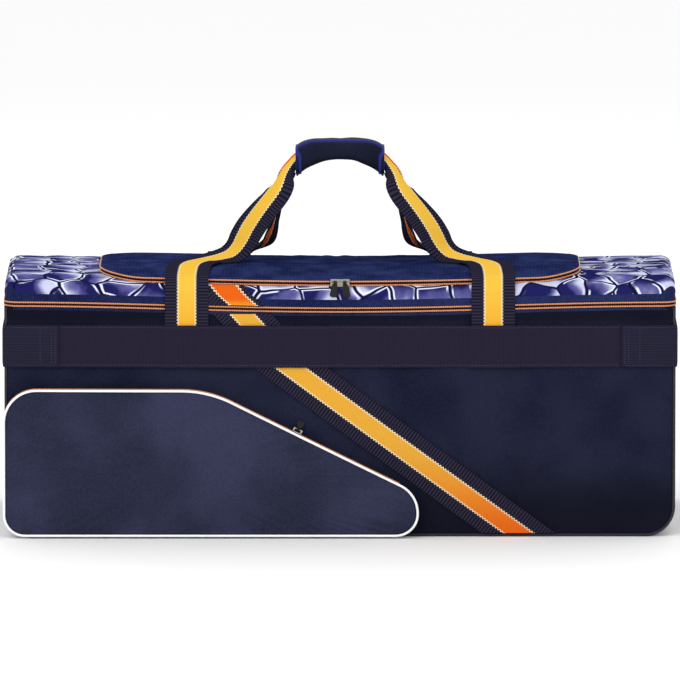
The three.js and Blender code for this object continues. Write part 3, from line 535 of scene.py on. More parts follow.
def ribbed_webbing(name, dark, light, pitch, across=False, roughness=0.7):
    """Flat polyester webbing with thick ribs, which run along it or across it. The map
    holds millimetres along and across the webbing."""
    material, tree, shader = new_material(name, Roughness=roughness, Specular_IOR_Level=0.03)
    mapped = add_node(tree, "UVMap", uv_map="UVMap")
    u, v, _ = add_node(tree, "SeparateXYZ", (mapped,), None)
    ribs = rib(tree, u if across else v, pitch)
    fuzz = add_node(tree, "TexNoise", {"Vector": mapped, "Scale": 1 / 1.6, "Detail": 2.0})
    tone = weighted(tree, (ribs, 0.6), (fuzz, 0.4))
    colour = add_node(tree, "Mix", {0: tone, 6: dark, 7: light}, 2, **COLOUR)
    tree.links.new(colour, shader.inputs["Base Color"])
    relief(tree, shader, ribs, 0.0006)
    return material


def striped_webbing(name, look, low, high, start, end):
    """Webbing with a smooth coloured stripe between pale serrated lines and dark sides
    with cross ribs. The stripe's colour goes from low to high between two heights."""
    material, tree, shader = new_material(name, Roughness=0.6, Specular_IOR_Level=0.0)
    mapped = add_node(tree, "UVMap", uv_map="UVMap")
    u, v, _ = add_node(tree, "SeparateXYZ", (mapped,), None)
    off = add_node(tree, "Math", (v,), operation="ABSOLUTE")
    ribs = rib(tree, u, look.rib_pitch)
    fuzz = add_node(tree, "TexNoise", {"Vector": mapped, "Scale": 1 / 1.4, "Detail": 2.0})
    sides = weighted(tree, (ribs, 0.65), (fuzz, 0.35))
    side = add_node(tree, "Mix", {0: sides, 6: look.side_dark, 7: look.side_light}, 2, **COLOUR)
    place = add_node(tree, "TexCoord", output="Object")
    height = add_node(tree, "SeparateXYZ", (place,), 2)
    up = add_node(tree, "MapRange", (height, start / 1000, end / 1000), **SMOOTH)
    stripe = add_node(tree, "Mix", {0: up, 6: low, 7: high}, 2, **COLOUR)
    weave = weighted(tree, (rib(tree, u, look.rib_pitch / 2), 0.12), (fuzz, 0.12))
    stripe = add_node(tree, "Mix", {0: weave, 6: stripe, 7: look.stripe_shade}, 2, **COLOUR)
    # The teeth of the pale lines follow the ribs
    saw = add_node(tree, "Math", (ribs, look.serration, off), operation="MULTIPLY_ADD")
    half = look.stripe_width / 2
    outer = half + look.edge_width
    line = add_node(tree, "MapRange", (saw, half - 0.3, half + 0.3), **SMOOTH)
    beyond = add_node(tree, "MapRange", (saw, outer - 0.3, outer + 0.3), **SMOOTH)
    colour = add_node(tree, "Mix", {0: line, 6: stripe, 7: look.edge_line}, 2, **COLOUR)
    colour = add_node(tree, "Mix", {0: beyond, 6: colour, 7: side}, 2, **COLOUR)
    tree.links.new(colour, shader.inputs["Base Color"])
    # The stripe is nearly flat, and the sides have the whole relief
    rough = add_node(tree, "MapRange", (off, half - 0.5, half + 1.0), **SMOOTH)
    depth = add_node(tree, "Math", (rough, 0.8, 0.2), operation="MULTIPLY_ADD")
    raised = add_node(tree, "Math", (ribs, depth), operation="MULTIPLY")
    relief(tree, shader, raised, 0.0004)
    return material


def zip_cloth(name, edge, middle, half):
    """Woven zip tape: dark between the coils and blue beyond them."""
    material, tree, shader = new_material(name, Roughness=0.75, Specular_IOR_Level=0.08)
    mapped = add_node(tree, "UVMap", uv_map="UVMap")
    u, v, _ = add_node(tree, "SeparateXYZ", (mapped,), None)
    fuzz = add_node(tree, "TexNoise", {"Vector": mapped, "Scale": 1 / 3, "Detail": 3.0})
    tone = add_node(tree, "Mix", {0: fuzz, 6: edge[0], 7: edge[1]}, 2, **COLOUR)
    off = add_node(tree, "Math", (v,), operation="ABSOLUTE")
    between = add_node(tree, "MapRange", (off, half + 0.4, half - 0.4), **SMOOTH)
    colour = add_node(tree, "Mix", {0: between, 6: tone, 7: middle}, 2, **COLOUR)
    tree.links.new(colour, shader.inputs["Base Color"])
    relief(tree, shader, rib(tree, u, 2.2), 0.0003)
    return material


def coil_nylon(name, colour, shade):
    """Nylon coil of a zip: glossy, with a turn every 1.2 mm, drawn at 2.4 mm to show."""
    material, tree, shader = new_material(name, Roughness=0.38, IOR=1.53)
    mapped = add_node(tree, "UVMap", uv_map="UVMap")
    turns = rib(tree, add_node(tree, "SeparateXYZ", (mapped,)), 2.4)
    tone = add_node(tree, "Mix", {0: turns, 6: shade, 7: colour}, 2, **COLOUR)
    tree.links.new(tone, shader.inputs["Base Color"])
    relief(tree, shader, turns, 0.0005)
    return material


def even_material(name, colour, shade, size, depth, **surface):
    """A finish with fine relief of a given size in metres, of one colour, or speckled with
    a shade where one is given."""
    material, tree, shader = new_material(name, **surface)
    place = add_node(tree, "TexCoord", output="Object")
    speckle = add_node(tree, "TexNoise", {"Vector": place, "Scale": 1 / size, "Detail": 3.0})
    if shade is None:
        shader.inputs["Base Color"].default_value = colour
    else:
        tone = add_node(tree, "Mix", {0: speckle, 6: shade, 7: colour}, 2, **COLOUR)
        tree.links.new(tone, shader.inputs["Base Color"])
    relief(tree, shader, speckle, depth)
    return material


# Settings that a user would change


def length_setting(name, size, description):
    """A length with its default in millimetres."""
    return FloatProperty(
        name=name,
        description=description,
        default=size / 1000,
        min=0.0,
        precision=4,
        unit="LENGTH",
        subtype="DISTANCE",
    )


def colour_setting(name, text, description):
    """A colour with its default as an sRGB hex value."""
    return FloatVectorProperty(
        name=name,
        description=description,
        default=linear(text),
        size=4,
        min=0.0,
        max=1.0,
        subtype="COLOR",
    )


class KitBagBody(PropertyGroup):
    crease_height: length_setting("Crease height", 2.6, "How deep the soft creases of the walls are")
    crease_length: length_setting("Crease length", 120, "Typical distance between two creases")
    cloth_dark: colour_setting("Cloth, dark", "#13162A", "Body cloth where it is darkest")
    cloth_light: colour_setting("Cloth, light", "#222539", "Body cloth where it catches light")
    # Colour of the painted shade that darkens the body cloth just above the floor and just below the
    # zip
    cloth_foot: colour_setting(
        "Cloth, foot", "#0B0B14", "Body cloth just above the floor and just below the zip"
    )
    piping: colour_setting("Edge piping", "#141420", "Piping round the front and back")
    facing: colour_setting("Facing", "#0D1436", "Blue cloth beside the main zip")


class KitBagZips(PropertyGroup):
    coil_radius: length_setting("Coil radius", 1.05, "Radius of each line of coil")
    coil_spread: length_setting("Coil spread", 4.9, "Distance between the two lines of coil")
    coil: colour_setting("Coil", "#F0A66C", "Colour of the coils")
    coil_shade: colour_setting("Coil shade", "#A85C2C", "Coil between its turns")
    middle: colour_setting("Middle of the tape", "#200A0E", "Tape between the coils")
    facing_width: length_setting("Facing width", 3, "Width of the blue cloth below the main zip")


class KitBagLid(PropertyGroup):
    cell: length_setting("Stone size", 42, "Typical length of a printed stone")
    billow: length_setting("Billow", 2.2, "How far the lid's cloth billows between its seams")
    deep: colour_setting("Stone, dark side", "#1E1E56", "Dark side of a printed stone")
    mid: colour_setting("Stone, middle", "#56548E", "Middle of a printed stone")
    pale: colour_setting("Stone, pale side", "#C0C4E0", "Pale side of a printed stone")
    joint: colour_setting("Joint", "#14153A", "Joint between stones")
    rim: colour_setting("Rim", "#DEE1F2", "Pale rim of a stone")
    pocket_dark: colour_setting("Ripstop, dark", "#171E42", "Lid pocket in its creases")
    pocket_light: colour_setting("Ripstop, light", "#2A335E", "Lid pocket where it catches light")
    pocket_line: colour_setting("Ripstop grid", "#2C3768", "Thick threads of the ripstop")


class KitBagPocket(PropertyGroup):
    crease_height: length_setting("Crease height", 3.0, "How deep the soft creases of the pocket are")
    cloth_dark: colour_setting("Cloth, dark", "#232538", "Pocket cloth where it is darkest")
    cloth_light: colour_setting("Cloth, light", "#353750", "Pocket cloth where it catches light")
    piping: colour_setting("Piping", "#F6F6F6", "Piping round the pocket")
    piping_radius: length_setting("Piping radius", 1.6, "Radius of the piping round the pocket")


class KitBagWebbing(PropertyGroup):
    stripe_width: length_setting("Stripe width", 24, "Width of the coloured stripe")
    edge_width: length_setting("Edge line width", 1.2, "Width of the pale line beside the stripe")
    serration: length_setting("Serration", 1.9, "Depth of the teeth of the pale line")
    rib_pitch: length_setting("Rib pitch", 4.2, "Distance between two cross ribs")
    stripe_top: colour_setting("Stripe, top", "#E9BC44", "Stripe where the straps rise")
    stripe_low: colour_setting("Stripe, low", "#E69A28", "Stripe on the front of the bag")
    stripe_orange: colour_setting(
        "Stripe, orange", "#DC5A16", "Stripe on the lid, the rear strap and the band's foot"
    )
    stripe_shade: colour_setting("Stripe shade", "#B0691E", "Stripe between its threads")
    edge_line: colour_setting("Edge line", "#EFE3C0", "Pale line beside the stripe")
    side_dark: colour_setting("Sides, dark", "#07060B", "Webbing's sides between the ribs")
    side_light: colour_setting("Sides, light", "#353246", "Webbing's sides on the ribs")
    belt_dark: colour_setting("Belt, dark", "#1D1928", "Belt between its ribs")
    belt_light: colour_setting("Belt, light", "#2A2639", "Belt on its ribs")
    tab_dark: colour_setting("End handle, dark", "#1A1928", "End handles between their ribs")
    tab_light: colour_setting("End handle, light", "#2A293C", "End handles on their ribs")
    stripe_band: colour_setting("Stripe, band", "#DDA43A", "Stripe on the sloping band")
    thread: colour_setting("Thread", "#4A4763", "Thread of the stitches")
    stitch_length: length_setting("Stitch length", 3.2, "Length of a stitch")
    stitch_gap: length_setting("Stitch gap", 1.2, "Distance between two stitches")
    stitch_radius: length_setting("Thread radius", 0.35, "Radius of the thread")


class KitBagGrip(PropertyGroup):
    binding_width: length_setting("Binding width", 8, "Width of the binding round the wrap's edges")
    cloth_dark: colour_setting("Cloth, dark", "#0F111C", "Wrap where it is darkest")
    cloth_light: colour_setting("Cloth, light", "#1D2034", "Wrap where it catches light")
    binding: colour_setting("Binding", "#2F3788", "Binding round the wrap's edges")
    binding_dark: colour_setting("Binding, dark", "#212768", "Binding between its ribs")


class KitBagPullers(PropertyGroup):
    metal: colour_setting("Metal", "#C4BEB0", "Plated metal of the sliders")
    metal_shade: colour_setting("Metal shade", "#6E695E", "Metal in its worn places")
    rubber: colour_setting("Rubber", "#141412", "Moulded rubber of the pullers")


class KitBagStage(PropertyGroup):
    lens: FloatProperty(
        name="Lens",
        description="Focal length of the camera",
        default=700.0,
        min=20.0,
        max=1000.0,
        unit="CAMERA",
    )
    frame_width: length_setting(
        "Frame width", 905, "Width that the camera sees at the front of the bag"
    )
    elevation: FloatProperty(
        name="Elevation",
        description="How far the camera looks down",
        default=math.radians(8.0),
        unit="ROTATION",
        subtype="ANGLE",
    )
    floor: colour_setting("Floor", "#FAFAFA", "Plain floor")


def settings(context):
    """Every group's values, with lengths in millimetres."""
    scene = context.scene
    values = {group: millimetres(getattr(scene, f"kit_bag_{group}")) for group in GROUPS}
    return SimpleNamespace(**values)


def shared(name, make, *values, **options):
    """The material of that name, made the first time that it is asked for."""
    return bpy.data.materials.get(name) or make(name, *values, **options)


# Body


def long_wall(side, look):
    """Front or back wall: straight columns from the rounded floor line up to the zip, on a
    bulged plane, with creases that only go inwards."""
    bend = np.linspace(0, np.pi / 2, 13)
    corner = CORNER_START + (FLOOR_CORNER - PANEL_INSET) * np.sin(bend)
    flat = np.linspace(-CORNER_START, CORNER_START, 171)[1:-1]
    x = np.concatenate([-corner[::-1], flat, corner])[:, None]
    over = np.clip(np.abs(x) - CORNER_START, 0, None)
    low = FLOOR_CORNER - np.sqrt(np.clip((FLOOR_CORNER - PANEL_INSET) ** 2 - over**2, 0, None))
    top = zip_height(x) - SKIRT_FOOT if side < 0 else zip_height(x) + ZIP_WIDTH / 2
    z = low + (top - low) * np.linspace(0, 1, 64)[None, :]
    held = ramp(z - low, 0, 40) * ramp(top - z, 0, 30) * ramp(HALF_LENGTH - np.abs(x), 6, 60)
    upright = folds(x, z * 0.35, 11 + side, look.crease_length)
    fine = folds(x, z, 23 + side, look.crease_length / 3)
    crease = look.crease_height * held * (0.5 + 0.38 * upright + 0.14 * fine)
    points = on_panel(side, x, z, -crease)
    if side > 0:
        points = points[::-1]
    return cloth_wall(points, CLOTH - 0.5)


def end_wall(side, look):
    """End wall: a path down the end and round into the base, dished by half a sine wave
    down it and a parabola across it."""
    top = ZIP_LINE - SKIRT_FOOT
    down = np.linspace(top, FLOOR_CORNER, 40)
    share = (down - FLOOR_CORNER) / (top - FLOOR_CORNER)
    turn = np.linspace(0, np.pi / 2, 13)[1:]
    x = np.concatenate([np.full(down.size, HALF_LENGTH), CORNER_START + FLOOR_CORNER * np.cos(turn)])
    z = np.concatenate([down, FLOOR_CORNER - FLOOR_CORNER * np.sin(turn)])
    along = np.concatenate([np.ones(down.size), np.cos(turn)])
    up = np.concatenate([np.zeros(down.size), -np.sin(turn)])
    dish = np.concatenate([END_DISH * np.sin(np.pi * share), np.zeros(turn.size)])
    y = np.linspace(-GUSSET_EDGE, GUSSET_EDGE, 56)
    held = (1 - (y / GUSSET_EDGE) ** 2)[None, :]
    soft = 0.5 + 0.45 * folds(y[None, :], z[:, None] * 0.6, 37 + side, look.crease_length)
    crease = look.crease_height * held * ramp(z, 6, 60)[:, None] * soft
    sunk = dish[:, None] * held + crease
    x = side * (x[:, None] - along[:, None] * sunk)
    z = z[:, None] - up[:, None] * sunk
    points = np.stack(np.broadcast_arrays(x, y, z), -1)
    return cloth_wall(points if side > 0 else points[:, ::-1], CLOTH - 0.5)


def base_wall():
    """Flat base between the two rounded ends."""
    reach = CORNER_START - GAP
    across = np.linspace(-GUSSET_EDGE, GUSSET_EDGE, 20)
    x, y = np.meshgrid(np.linspace(-reach, reach, 40), across, indexing="ij")
    return cloth_wall(np.stack([x, y, np.zeros_like(x)], -1)[::-1], CLOTH)


def edge_piping(side):
    """Piping down one end, along the floor line and up the other end."""
    radius = FLOOR_CORNER - PIPING - GAP
    turn = np.linspace(0, np.pi / 2, 16)
    x = np.concatenate([np.full(24, CORNER_START + radius), CORNER_START + radius * np.cos(turn)])
    down = np.linspace(ZIP_LINE - SKIRT_FOOT, FLOOR_CORNER, 25)[:-1]
    z = np.concatenate([down, FLOOR_CORNER - radius * np.sin(turn)])
    flat = np.linspace(CORNER_START, -CORNER_START, 60)[1:-1]
    x = np.concatenate([x, flat, -x[::-1]])
    z = np.concatenate([z, np.full(flat.size, FLOOR_CORNER - radius), z[::-1]])
    return cord_body(np.stack([x, np.full_like(x, side * (HALF_DEPTH - PIPING)), z], -1), PIPING, 10)


class KITBAG_OT_body(Operator):
    """Builds the walls, the base and the edge piping"""

    bl_idname = "kitbag.body"
    bl_label = "Body"

    def execute(self, context):
        look = settings(context).body
        # foot is the colour of the painted shade near the floor and below the zip
        tones = {"dark": look.cloth_dark, "light": look.cloth_light, "foot": look.cloth_foot}
        cloth = shared("coated woven polyester", coated_polyester, **tones)
        cotton = {"Roughness": 0.7, "IOR": 1.5}
        binding = shared("dark bias binding", even_material, look.piping, None, 0.003, 0.0003, **cotton)
        for name, body, material, node, finish in (
            ("front_wall", long_wall(-1, look), cloth, "front_panel", "body_cloth"),
            ("back_wall", long_wall(1, look), cloth, "back_panel", "body_cloth"),
            ("left_end_wall", end_wall(-1, look), cloth, "end_panel_left", "body_cloth"),
            ("right_end_wall", end_wall(1, look), cloth, "end_panel_right", "body_cloth"),
            ("base_cloth", base_wall(), cloth, "base_panel", "base_cloth"),
            ("front_piping", edge_piping(-1), binding, "front_edge_piping", "edge_piping"),
            ("back_piping", edge_piping(1), binding, "back_edge_piping", "edge_piping"),
        ):
            add_piece(name, body, [material], hides=[node])
        return {"FINISHED"}


# Lid, its pocket and the zips


def rounded_loop(corners, inset, count):
    """Evenly spaced points and outward normals of a closed outline, anticlockwise from the
    middle of its last side. Each corner is (x, y, radius), and its arc touches both sides."""
    corners = np.asarray(corners, float)
    spots, radii = corners[:, :2], corners[:, 2]
    back = unit(np.roll(spots, 1, 0) - spots)
    ahead = unit(np.roll(spots, -1, 0) - spots)
    half = np.arccos(np.clip((back * ahead).sum(-1), -1, 1)) / 2
    centre = spots + unit(back + ahead) * (radii / np.sin(half))[:, None]
    start = np.arctan2(-back[:, 0], back[:, 1]) - np.pi
    turn = start[:, None] + (np.pi - 2 * half)[:, None] * np.linspace(0, 1, 33)[None, :]
    normal = np.stack([np.cos(turn), np.sin(turn)], -1)
    arcs = centre[:, None] + (radii - inset)[:, None, None] * normal
    middle = (arcs[-1, -1:] + arcs[0, :1]) / 2
    path = np.concatenate([middle, arcs.reshape(-1, 2), middle])
    normals = np.concatenate([normal[0, :1], normal.reshape(-1, 2), normal[0, :1]])
    length = run_length(path)
    even = np.linspace(0, length[-1], count, endpoint=False)
    pick = lambda table: np.stack([np.interp(even, length, table[:, k]) for k in (0, 1)], -1)
    return pick(path), unit(pick(normals))


def rectangle_loop(left, right, front, back, near, far, inset, count):
    """A rounded rectangle with one radius at its front corners and one at its back ones."""
    return rounded_loop(
        [(left, front, near), (right, front, near), (right, back, far), (left, back, far)], inset, count
    )


def lid_loop(count):
    """Outline of the lid and the main zip."""
    return rectangle_loop(
        -HALF_LENGTH, HALF_LENGTH, -HALF_DEPTH, HALF_DEPTH, LID_CORNER, LID_CORNER, 0, count
    )


def strap_mask(x, y, ease=14.0):
    """1 away from the carrying straps and 0 under them."""
    centre = np.where(y < 0, STRAP.spread, STRAP.rear_spread) / 2
    return ramp(np.abs(np.abs(x) - centre), STRAP.width / 2, STRAP.width / 2 + ease)


def unrolled(points, plan, heart):
    """The cloth laid flat: each row's distance from its heart, in the row's direction."""
    away = unit(plan - heart)
    left = along_grid(points[:, ::-1], 1)[:, ::-1]
    return heart[:, None] + away[:, None] * left[..., None]


def lid_cloth(look):
    """Lid: a short skirt that stands on the zip, then the domed top, over a closed outline
    that draws in to a spine. The cloth billows between its seams by soft sine folds."""
    plan, out = lid_loop(560)
    spine = LID_SPINE * HALF_LENGTH
    heart = np.stack([np.clip(plan[:, 0], -spine, spine), np.zeros(len(plan))], -1)
    near = [0, 0.0015, 0.005, 0.011, 0.02, 0.032, 0.047, 0.065]
    shares = np.concatenate([near, np.linspace(0.09, 1, 22)])
    spot = plan[:, None] + (heart - plan)[:, None] * shares[None, :, None]
    x, y = spot[..., 0], spot[..., 1]
    height = lid_height(x, y)
    # The folds read about the distance round the outline and in from it
    round_way = np.arange(len(plan))[:, None] * 3.85
    inwards = shares[None, :] * 160
    billow = folds(round_way, inwards, 5, 70) + 0.5 * folds(round_way, inwards, 6, 28)
    edge = ramp(shares, 0.0, 0.02) * (1 - ramp(shares, 0.1, 0.3))
    free = strap_mask(x, y) * edge[None, :]
    pushed = look.billow * free * (0.35 + 0.5 * billow)
    sunk = 0.8 * look.billow * ramp(shares, 0.2, 0.5)[None, :] * (0.5 + 0.4 * folds(x, y, 7, 90))
    steep = 1 - ramp(shares, 0.01, 0.09)[None, :]
    x = x + out[:, :1] * pushed * steep
    y = y + out[:, 1:] * pushed * steep
    top = np.stack([x, y, height + pushed * (1 - steep) * 0.5 - sunk], -1)
    foot = zip_height(plan[:, 0]) + SKIRT_FOOT
    rise = np.array([0, 0.35, 0.7, 0.92])
    dip = np.sin(np.pi * rise) * 0.7
    skirt_z = foot[:, None] + LID_SKIRT * rise[None, :]
    skirt = np.stack([plan[:, :1] - out[:, :1] * dip, plan[:, 1:] - out[:, 1:] * dip, skirt_z], -1)
    points = np.concatenate([skirt, top], 1)
    flat = unrolled(points, plan, heart)
    body = cloth_wall(points, CLOTH - 0.5, flat[..., 0], flat[..., 1], True, (0.0, 0.0, 1.0))
    columns = points.shape[1]
    order = np.tile(np.arange(2 * columns), len(points))
    blue = np.where((order < 4) | (order >= 2 * columns - 5), 1, 0)
    return body, blue


def lid_pocket_loop(inset, count):
    """Outline of the lid pocket, drawn in by an inset."""
    front = LID_POCKET.set_back - HALF_DEPTH
    reach = LID_POCKET.length / 2
    near, far = LID_POCKET.near_round * LID_POCKET.depth, LID_POCKET.far_round * LID_POCKET.depth
    return rectangle_loop(-reach, reach, front, front + LID_POCKET.depth, near, far, inset, count)


def lid_pocket_cloth():
    """Pocket on the lid: a low wall and a top that is puffed by a quarter circle from its
    outline to its heart, with creases that run in from the zip."""
    plan, _ = lid_pocket_loop(0, 480)
    heart = np.broadcast_to([0.0, LID_POCKET.depth / 2 + LID_POCKET.set_back - HALF_DEPTH], plan.shape)
    shares = np.concatenate([[0, 0.006, 0.016, 0.03, 0.05, 0.08], np.linspace(0.12, 1, 22)])
    spot = plan[:, None] + (heart - plan)[:, None] * shares[None, :, None]
    x, y = spot[..., 0], spot[..., 1]
    puff = np.sqrt(1 - (1 - shares) ** 2)[None, :]
    top = lid_height(x, y) + GAP + LID_POCKET.wall + LID_POCKET.puff * puff
    round_way = np.arange(len(plan))[:, None] * 3.5
    rays = folds(round_way, shares[None, :] * 60, 15, 42)
    lumps = folds(x, y, 16, 95)
    near = ramp(shares, 0, 0.05)[None, :]
    crease = near * (
        1.5 * (0.5 + 0.42 * lumps) + 1.3 * (1 - ramp(shares, 0.1, 0.5))[None, :] * (0.5 + 0.5 * rays)
    )
    lift = 1.2 * near * strap_mask(x, y, 30) * (0.5 + 0.5 * lumps)
    top = np.stack([x, y, top - crease * 0.9 + lift], -1)
    low = lid_height(plan[:, 0], plan[:, 1]) + GAP
    wall_z = low[:, None] + LID_POCKET.wall * np.array([[0, 0.5]])
    wall = np.stack(np.broadcast_arrays(plan[:, :1], plan[:, 1:], wall_z), -1)
    points = np.concatenate([wall, top], 1)
    flat = unrolled(points, plan, heart)
    return cloth_wall(points, CLOTH - 0.9, flat[..., 0], flat[..., 1], True, (0.0, 0.0, 1.0))


def upright_tape(plan, low, high, thickness):
    """A tape that stands on edge along a plan, with millimetres across it from -half to
    half in the face map."""
    share = np.linspace(0, 1, 4)
    z = low[:, None] + (high - low)[:, None] * share[None, :]
    points = np.stack(np.broadcast_arrays(plan[:, :1], plan[:, 1:], z), -1)
    half = (high - low)[:, None] * (share[None, :] - 0.5)
    return cloth_wall(points, thickness, None, half)


def loop_part(plan, out, keep):
    """The stretch of a closed loop whose points are kept, in order."""
    count = len(plan)
    first = next(i for i in range(count) if keep[i] and not keep[i - 1])
    order = (np.arange(count) + first) % count
    order = order[keep[order]]
    return plan[order], out[order]


def coil_pair(plan, out, middle, look):
    """Two cords side by side along a tape, half sunk into its face."""
    cords = []
    place = plan + out * 0.1
    up = np.stack([out[:, 0], out[:, 1], np.zeros(len(out))], -1)
    for side in (-0.5, 0.5):
        path = np.stack([place[:, 0], place[:, 1], middle + side * look.coil_spread], -1)
        cords.append(cord_body(path, look.coil_radius, 8, up=up))
    return joined(*cords)


def zip_finishes(s):
    """The tape and the coil that all three zips share."""
    edges = (s.body.facing, s.lid.pocket_light)
    tape = shared("woven zip tape", zip_cloth, edges, s.zips.middle, s.zips.coil_spread / 2)
    return tape, shared("orange nylon coil", coil_nylon, s.zips.coil, s.zips.coil_shade)


def facing_finish(s):
    """The blue cloth of the lid's skirt and of the facing below the main zip."""
    return shared("blue facing cloth", coated_polyester, s.body.facing, s.lid.pocket_light)


class KITBAG_OT_lid(Operator):
    """Builds the printed lid and the pocket on it"""

    bl_idname = "kitbag.lid"
    bl_label = "Lid and its pocket"

    def execute(self, context):
        s = settings(context)
        print_cloth = shared("printed woven polyester", pebble_print, s.lid)
        body, slots = lid_cloth(s.lid)
        cloths = [print_cloth, facing_finish(s)]
        lid = add_piece("lid_cloth", body, cloths, ["lid"], face_slots=slots, crease=60)
        nylon = shared(
            "crinkled ripstop nylon", ripstop, s.lid.pocket_dark, s.lid.pocket_light, s.lid.pocket_line
        )
        body = lid_pocket_cloth()
        pocket = add_piece("lid_pocket_cloth", body, [nylon], ["lid_pocket"], crease=60)
        return {"FINISHED"}


class KITBAG_OT_zips(Operator):
    """Builds the main zip, the lid pocket's zip and the cloth facings beside them"""

    bl_idname = "kitbag.zips"
    bl_label = "Zips"

    def execute(self, context):
        s = settings(context)
        tape, coil = zip_finishes(s)
        plan, out = lid_loop(620)
        # The zip ends in the middle of each back corner's arc
        end = HALF_DEPTH - LID_CORNER * (1 - math.sqrt(0.5)) + GAP
        plan, out = loop_part(plan, out, plan[:, 1] < end)
        middle = zip_height(plan[:, 0])
        body = upright_tape(plan, middle - ZIP_WIDTH / 2, middle + ZIP_WIDTH / 2, CLOTH - 0.5)
        add_piece("main_zip_tape", body, [tape], hides=["main_zip"])
        add_piece("main_zip_coils", coil_pair(plan, out, middle, s.zips), [coil])
        reach = HALF_LENGTH - 12
        x = np.linspace(-reach, reach, 200)[:, None]
        z = zip_height(x) - SKIRT_FOOT - np.array([[s.zips.facing_width, s.zips.facing_width / 2, 0.0]])
        facing = cloth_wall(on_panel(-1, x + 0 * z, z, 0.25), 0.5)
        add_piece("zip_facing", facing, [facing_finish(s)])
        plan, out = lid_pocket_loop(-GAP - LID_ZIP.off, 480)
        plan, out = loop_part(plan, out, plan[:, 1] < LID_ZIP.end)
        low = lid_height(plan[:, 0], plan[:, 1]) + GAP + LID_ZIP.foot
        body = upright_tape(plan, low, low + LID_ZIP.width, 1.5)
        add_piece("lid_pocket_zip_tape", body, [tape], hides=["lid_pocket_zip"])
        cords = coil_pair(plan, out, low + LID_ZIP.width / 2, s.zips)
        add_piece("lid_pocket_zip_coils", cords, [coil])
        return {"FINISHED"}


# Pocket on the front


def pocket_loop(inset, count):
    """Outline of the front pocket on its panel, anticlockwise from its low left corner."""
    left, right = POCKET.start, POCKET.start + POCKET.reach
    spots = (
        (left, POCKET.lift),
        (right, POCKET.lift),
        (right, POCKET.toe),
        (left + POCKET.crest, POCKET.top),
        (left, POCKET.top),
    )
    corners = [(*spot, radius) for spot, radius in zip(spots, POCKET_ROUNDS)]
    return rounded_loop(corners, inset, count)


def pocket_cloth(look):
    """Front pocket: a wall that stands off the panel and a face that is puffed by a quarter
    circle from its outline to its heart. Its creases only go inwards."""
    plan, _ = pocket_loop(0, 520)
    heart = np.broadcast_to(
        [POCKET.start + POCKET_HEART[0] * POCKET.reach, POCKET_HEART[1] * POCKET.top], plan.shape
    )
    shares = np.concatenate([[0, 0.008, 0.02, 0.04, 0.07], np.linspace(0.11, 1, 24)])
    spot = plan[:, None] + (heart - plan)[:, None] * shares[None, :, None]
    x, z = spot[..., 0], spot[..., 1]
    near = ramp(shares, 0, 0.06)[None, :]
    soft = folds(x, z, 31, 150) * 0.4 + 0.12 * folds(x, z, 32, 45)
    round_way = np.arange(len(plan))[:, None] * 2.7
    rays = folds(round_way, shares[None, :] * 50, 33, 40) * (1 - ramp(shares, 0.1, 0.45))[None, :]
    proud = GAP + POCKET.wall + POCKET.puff * np.sqrt(1 - (1 - shares) ** 2)[None, :]
    proud = proud - look.crease_height * near * (0.5 + soft + 0.22 * rays)
    face = on_panel(-1, x, z, proud)
    stand = on_panel(
        -1, plan[:, :1], plan[:, 1:], GAP + POCKET.wall * np.array([[0, 0.33, 0.66, 0.93]])
    )
    points = np.concatenate([stand, face], 1)
    flat = unrolled(points, plan, heart)
    return cloth_wall(points, CLOTH - 0.7, flat[..., 0], flat[..., 1], True, (0.0, -1.0, 0.0))


def pocket_zip(look):
    """Tape and coils on the pocket's wall, along its top and its slope."""
    plan, out = pocket_loop(-GAP - 0.2, 560)
    past_start = (plan[:, 1] > POCKET_ZIP.high * POCKET.top) | (
        plan[:, 0] > POCKET.start + POCKET_ZIP.along
    )
    plan, out = loop_part(plan, out, (plan[:, 1] > POCKET_ZIP.low * POCKET.toe) & past_start)
    middle = GAP + POCKET_ZIP.proud * POCKET.wall
    proud = middle + POCKET_ZIP.tape * np.linspace(-0.5, 0.5, 4)[None, :]
    tape = on_panel(-1, plan[:, :1] + 0 * proud, plan[:, 1:] + 0 * proud, proud)
    up = np.stack([out[:, 0], np.zeros(len(out)), out[:, 1]], -1)
    points = tape + up[:, None] * 1.2
    body = cloth_wall(points, 0.9, None, np.broadcast_to(proud - middle, points.shape[:2]))
    cords = []
    spot = plan + 1.6 * out
    for side in (-0.5, 0.5):
        path = on_panel(-1, spot[:, 0], spot[:, 1], middle + side * look.coil_spread * 0.75)
        cords.append(cord_body(path, 0.7 * look.coil_radius, 8, up=up))
    return body, joined(*cords)


class KITBAG_OT_pocket(Operator):
    """Builds the front pocket with its piping and zip"""

    bl_idname = "kitbag.pocket"
    bl_label = "Front pocket"

    def execute(self, context):
        s = settings(context)
        cloth = shared("pocket polyester", coated_polyester, s.pocket.cloth_dark, s.pocket.cloth_light)
        vinyl = {"Roughness": 0.4, "IOR": 1.5}
        white = shared(
            "white vinyl piping", even_material, s.pocket.piping, None, 0.002, 0.0001, **vinyl
        )
        body = pocket_cloth(s.pocket)
        pocket = add_piece("pocket_cloth", body, [cloth], ["front_pocket"], crease=60)
        plan, _ = pocket_loop(-0.5 * PIPING - GAP, 420)
        path = on_panel(-1, plan[:, 0], plan[:, 1], GAP + POCKET.wall + PIPING)
        cord = cord_body(path, s.pocket.piping_radius, 12, close=True)
        add_piece("pocket_piping", cord, [white], ["front_pocket_piping"])
        tape, coil = zip_finishes(s)
        tape_body, coil_body = pocket_zip(s.zips)
        add_piece("pocket_zip_tape", tape_body, [tape], hides=["front_pocket_zip"])
        add_piece("pocket_zip_coils", coil_body, [coil])
        return {"FINISHED"}


# Webbing


def band_at(z):
    """Middle and half run of the sloping band at a height."""
    return np.interp(z, BAND_HEIGHT, BAND_MIDDLE), np.interp(z, BAND_HEIGHT, BAND_RUN)


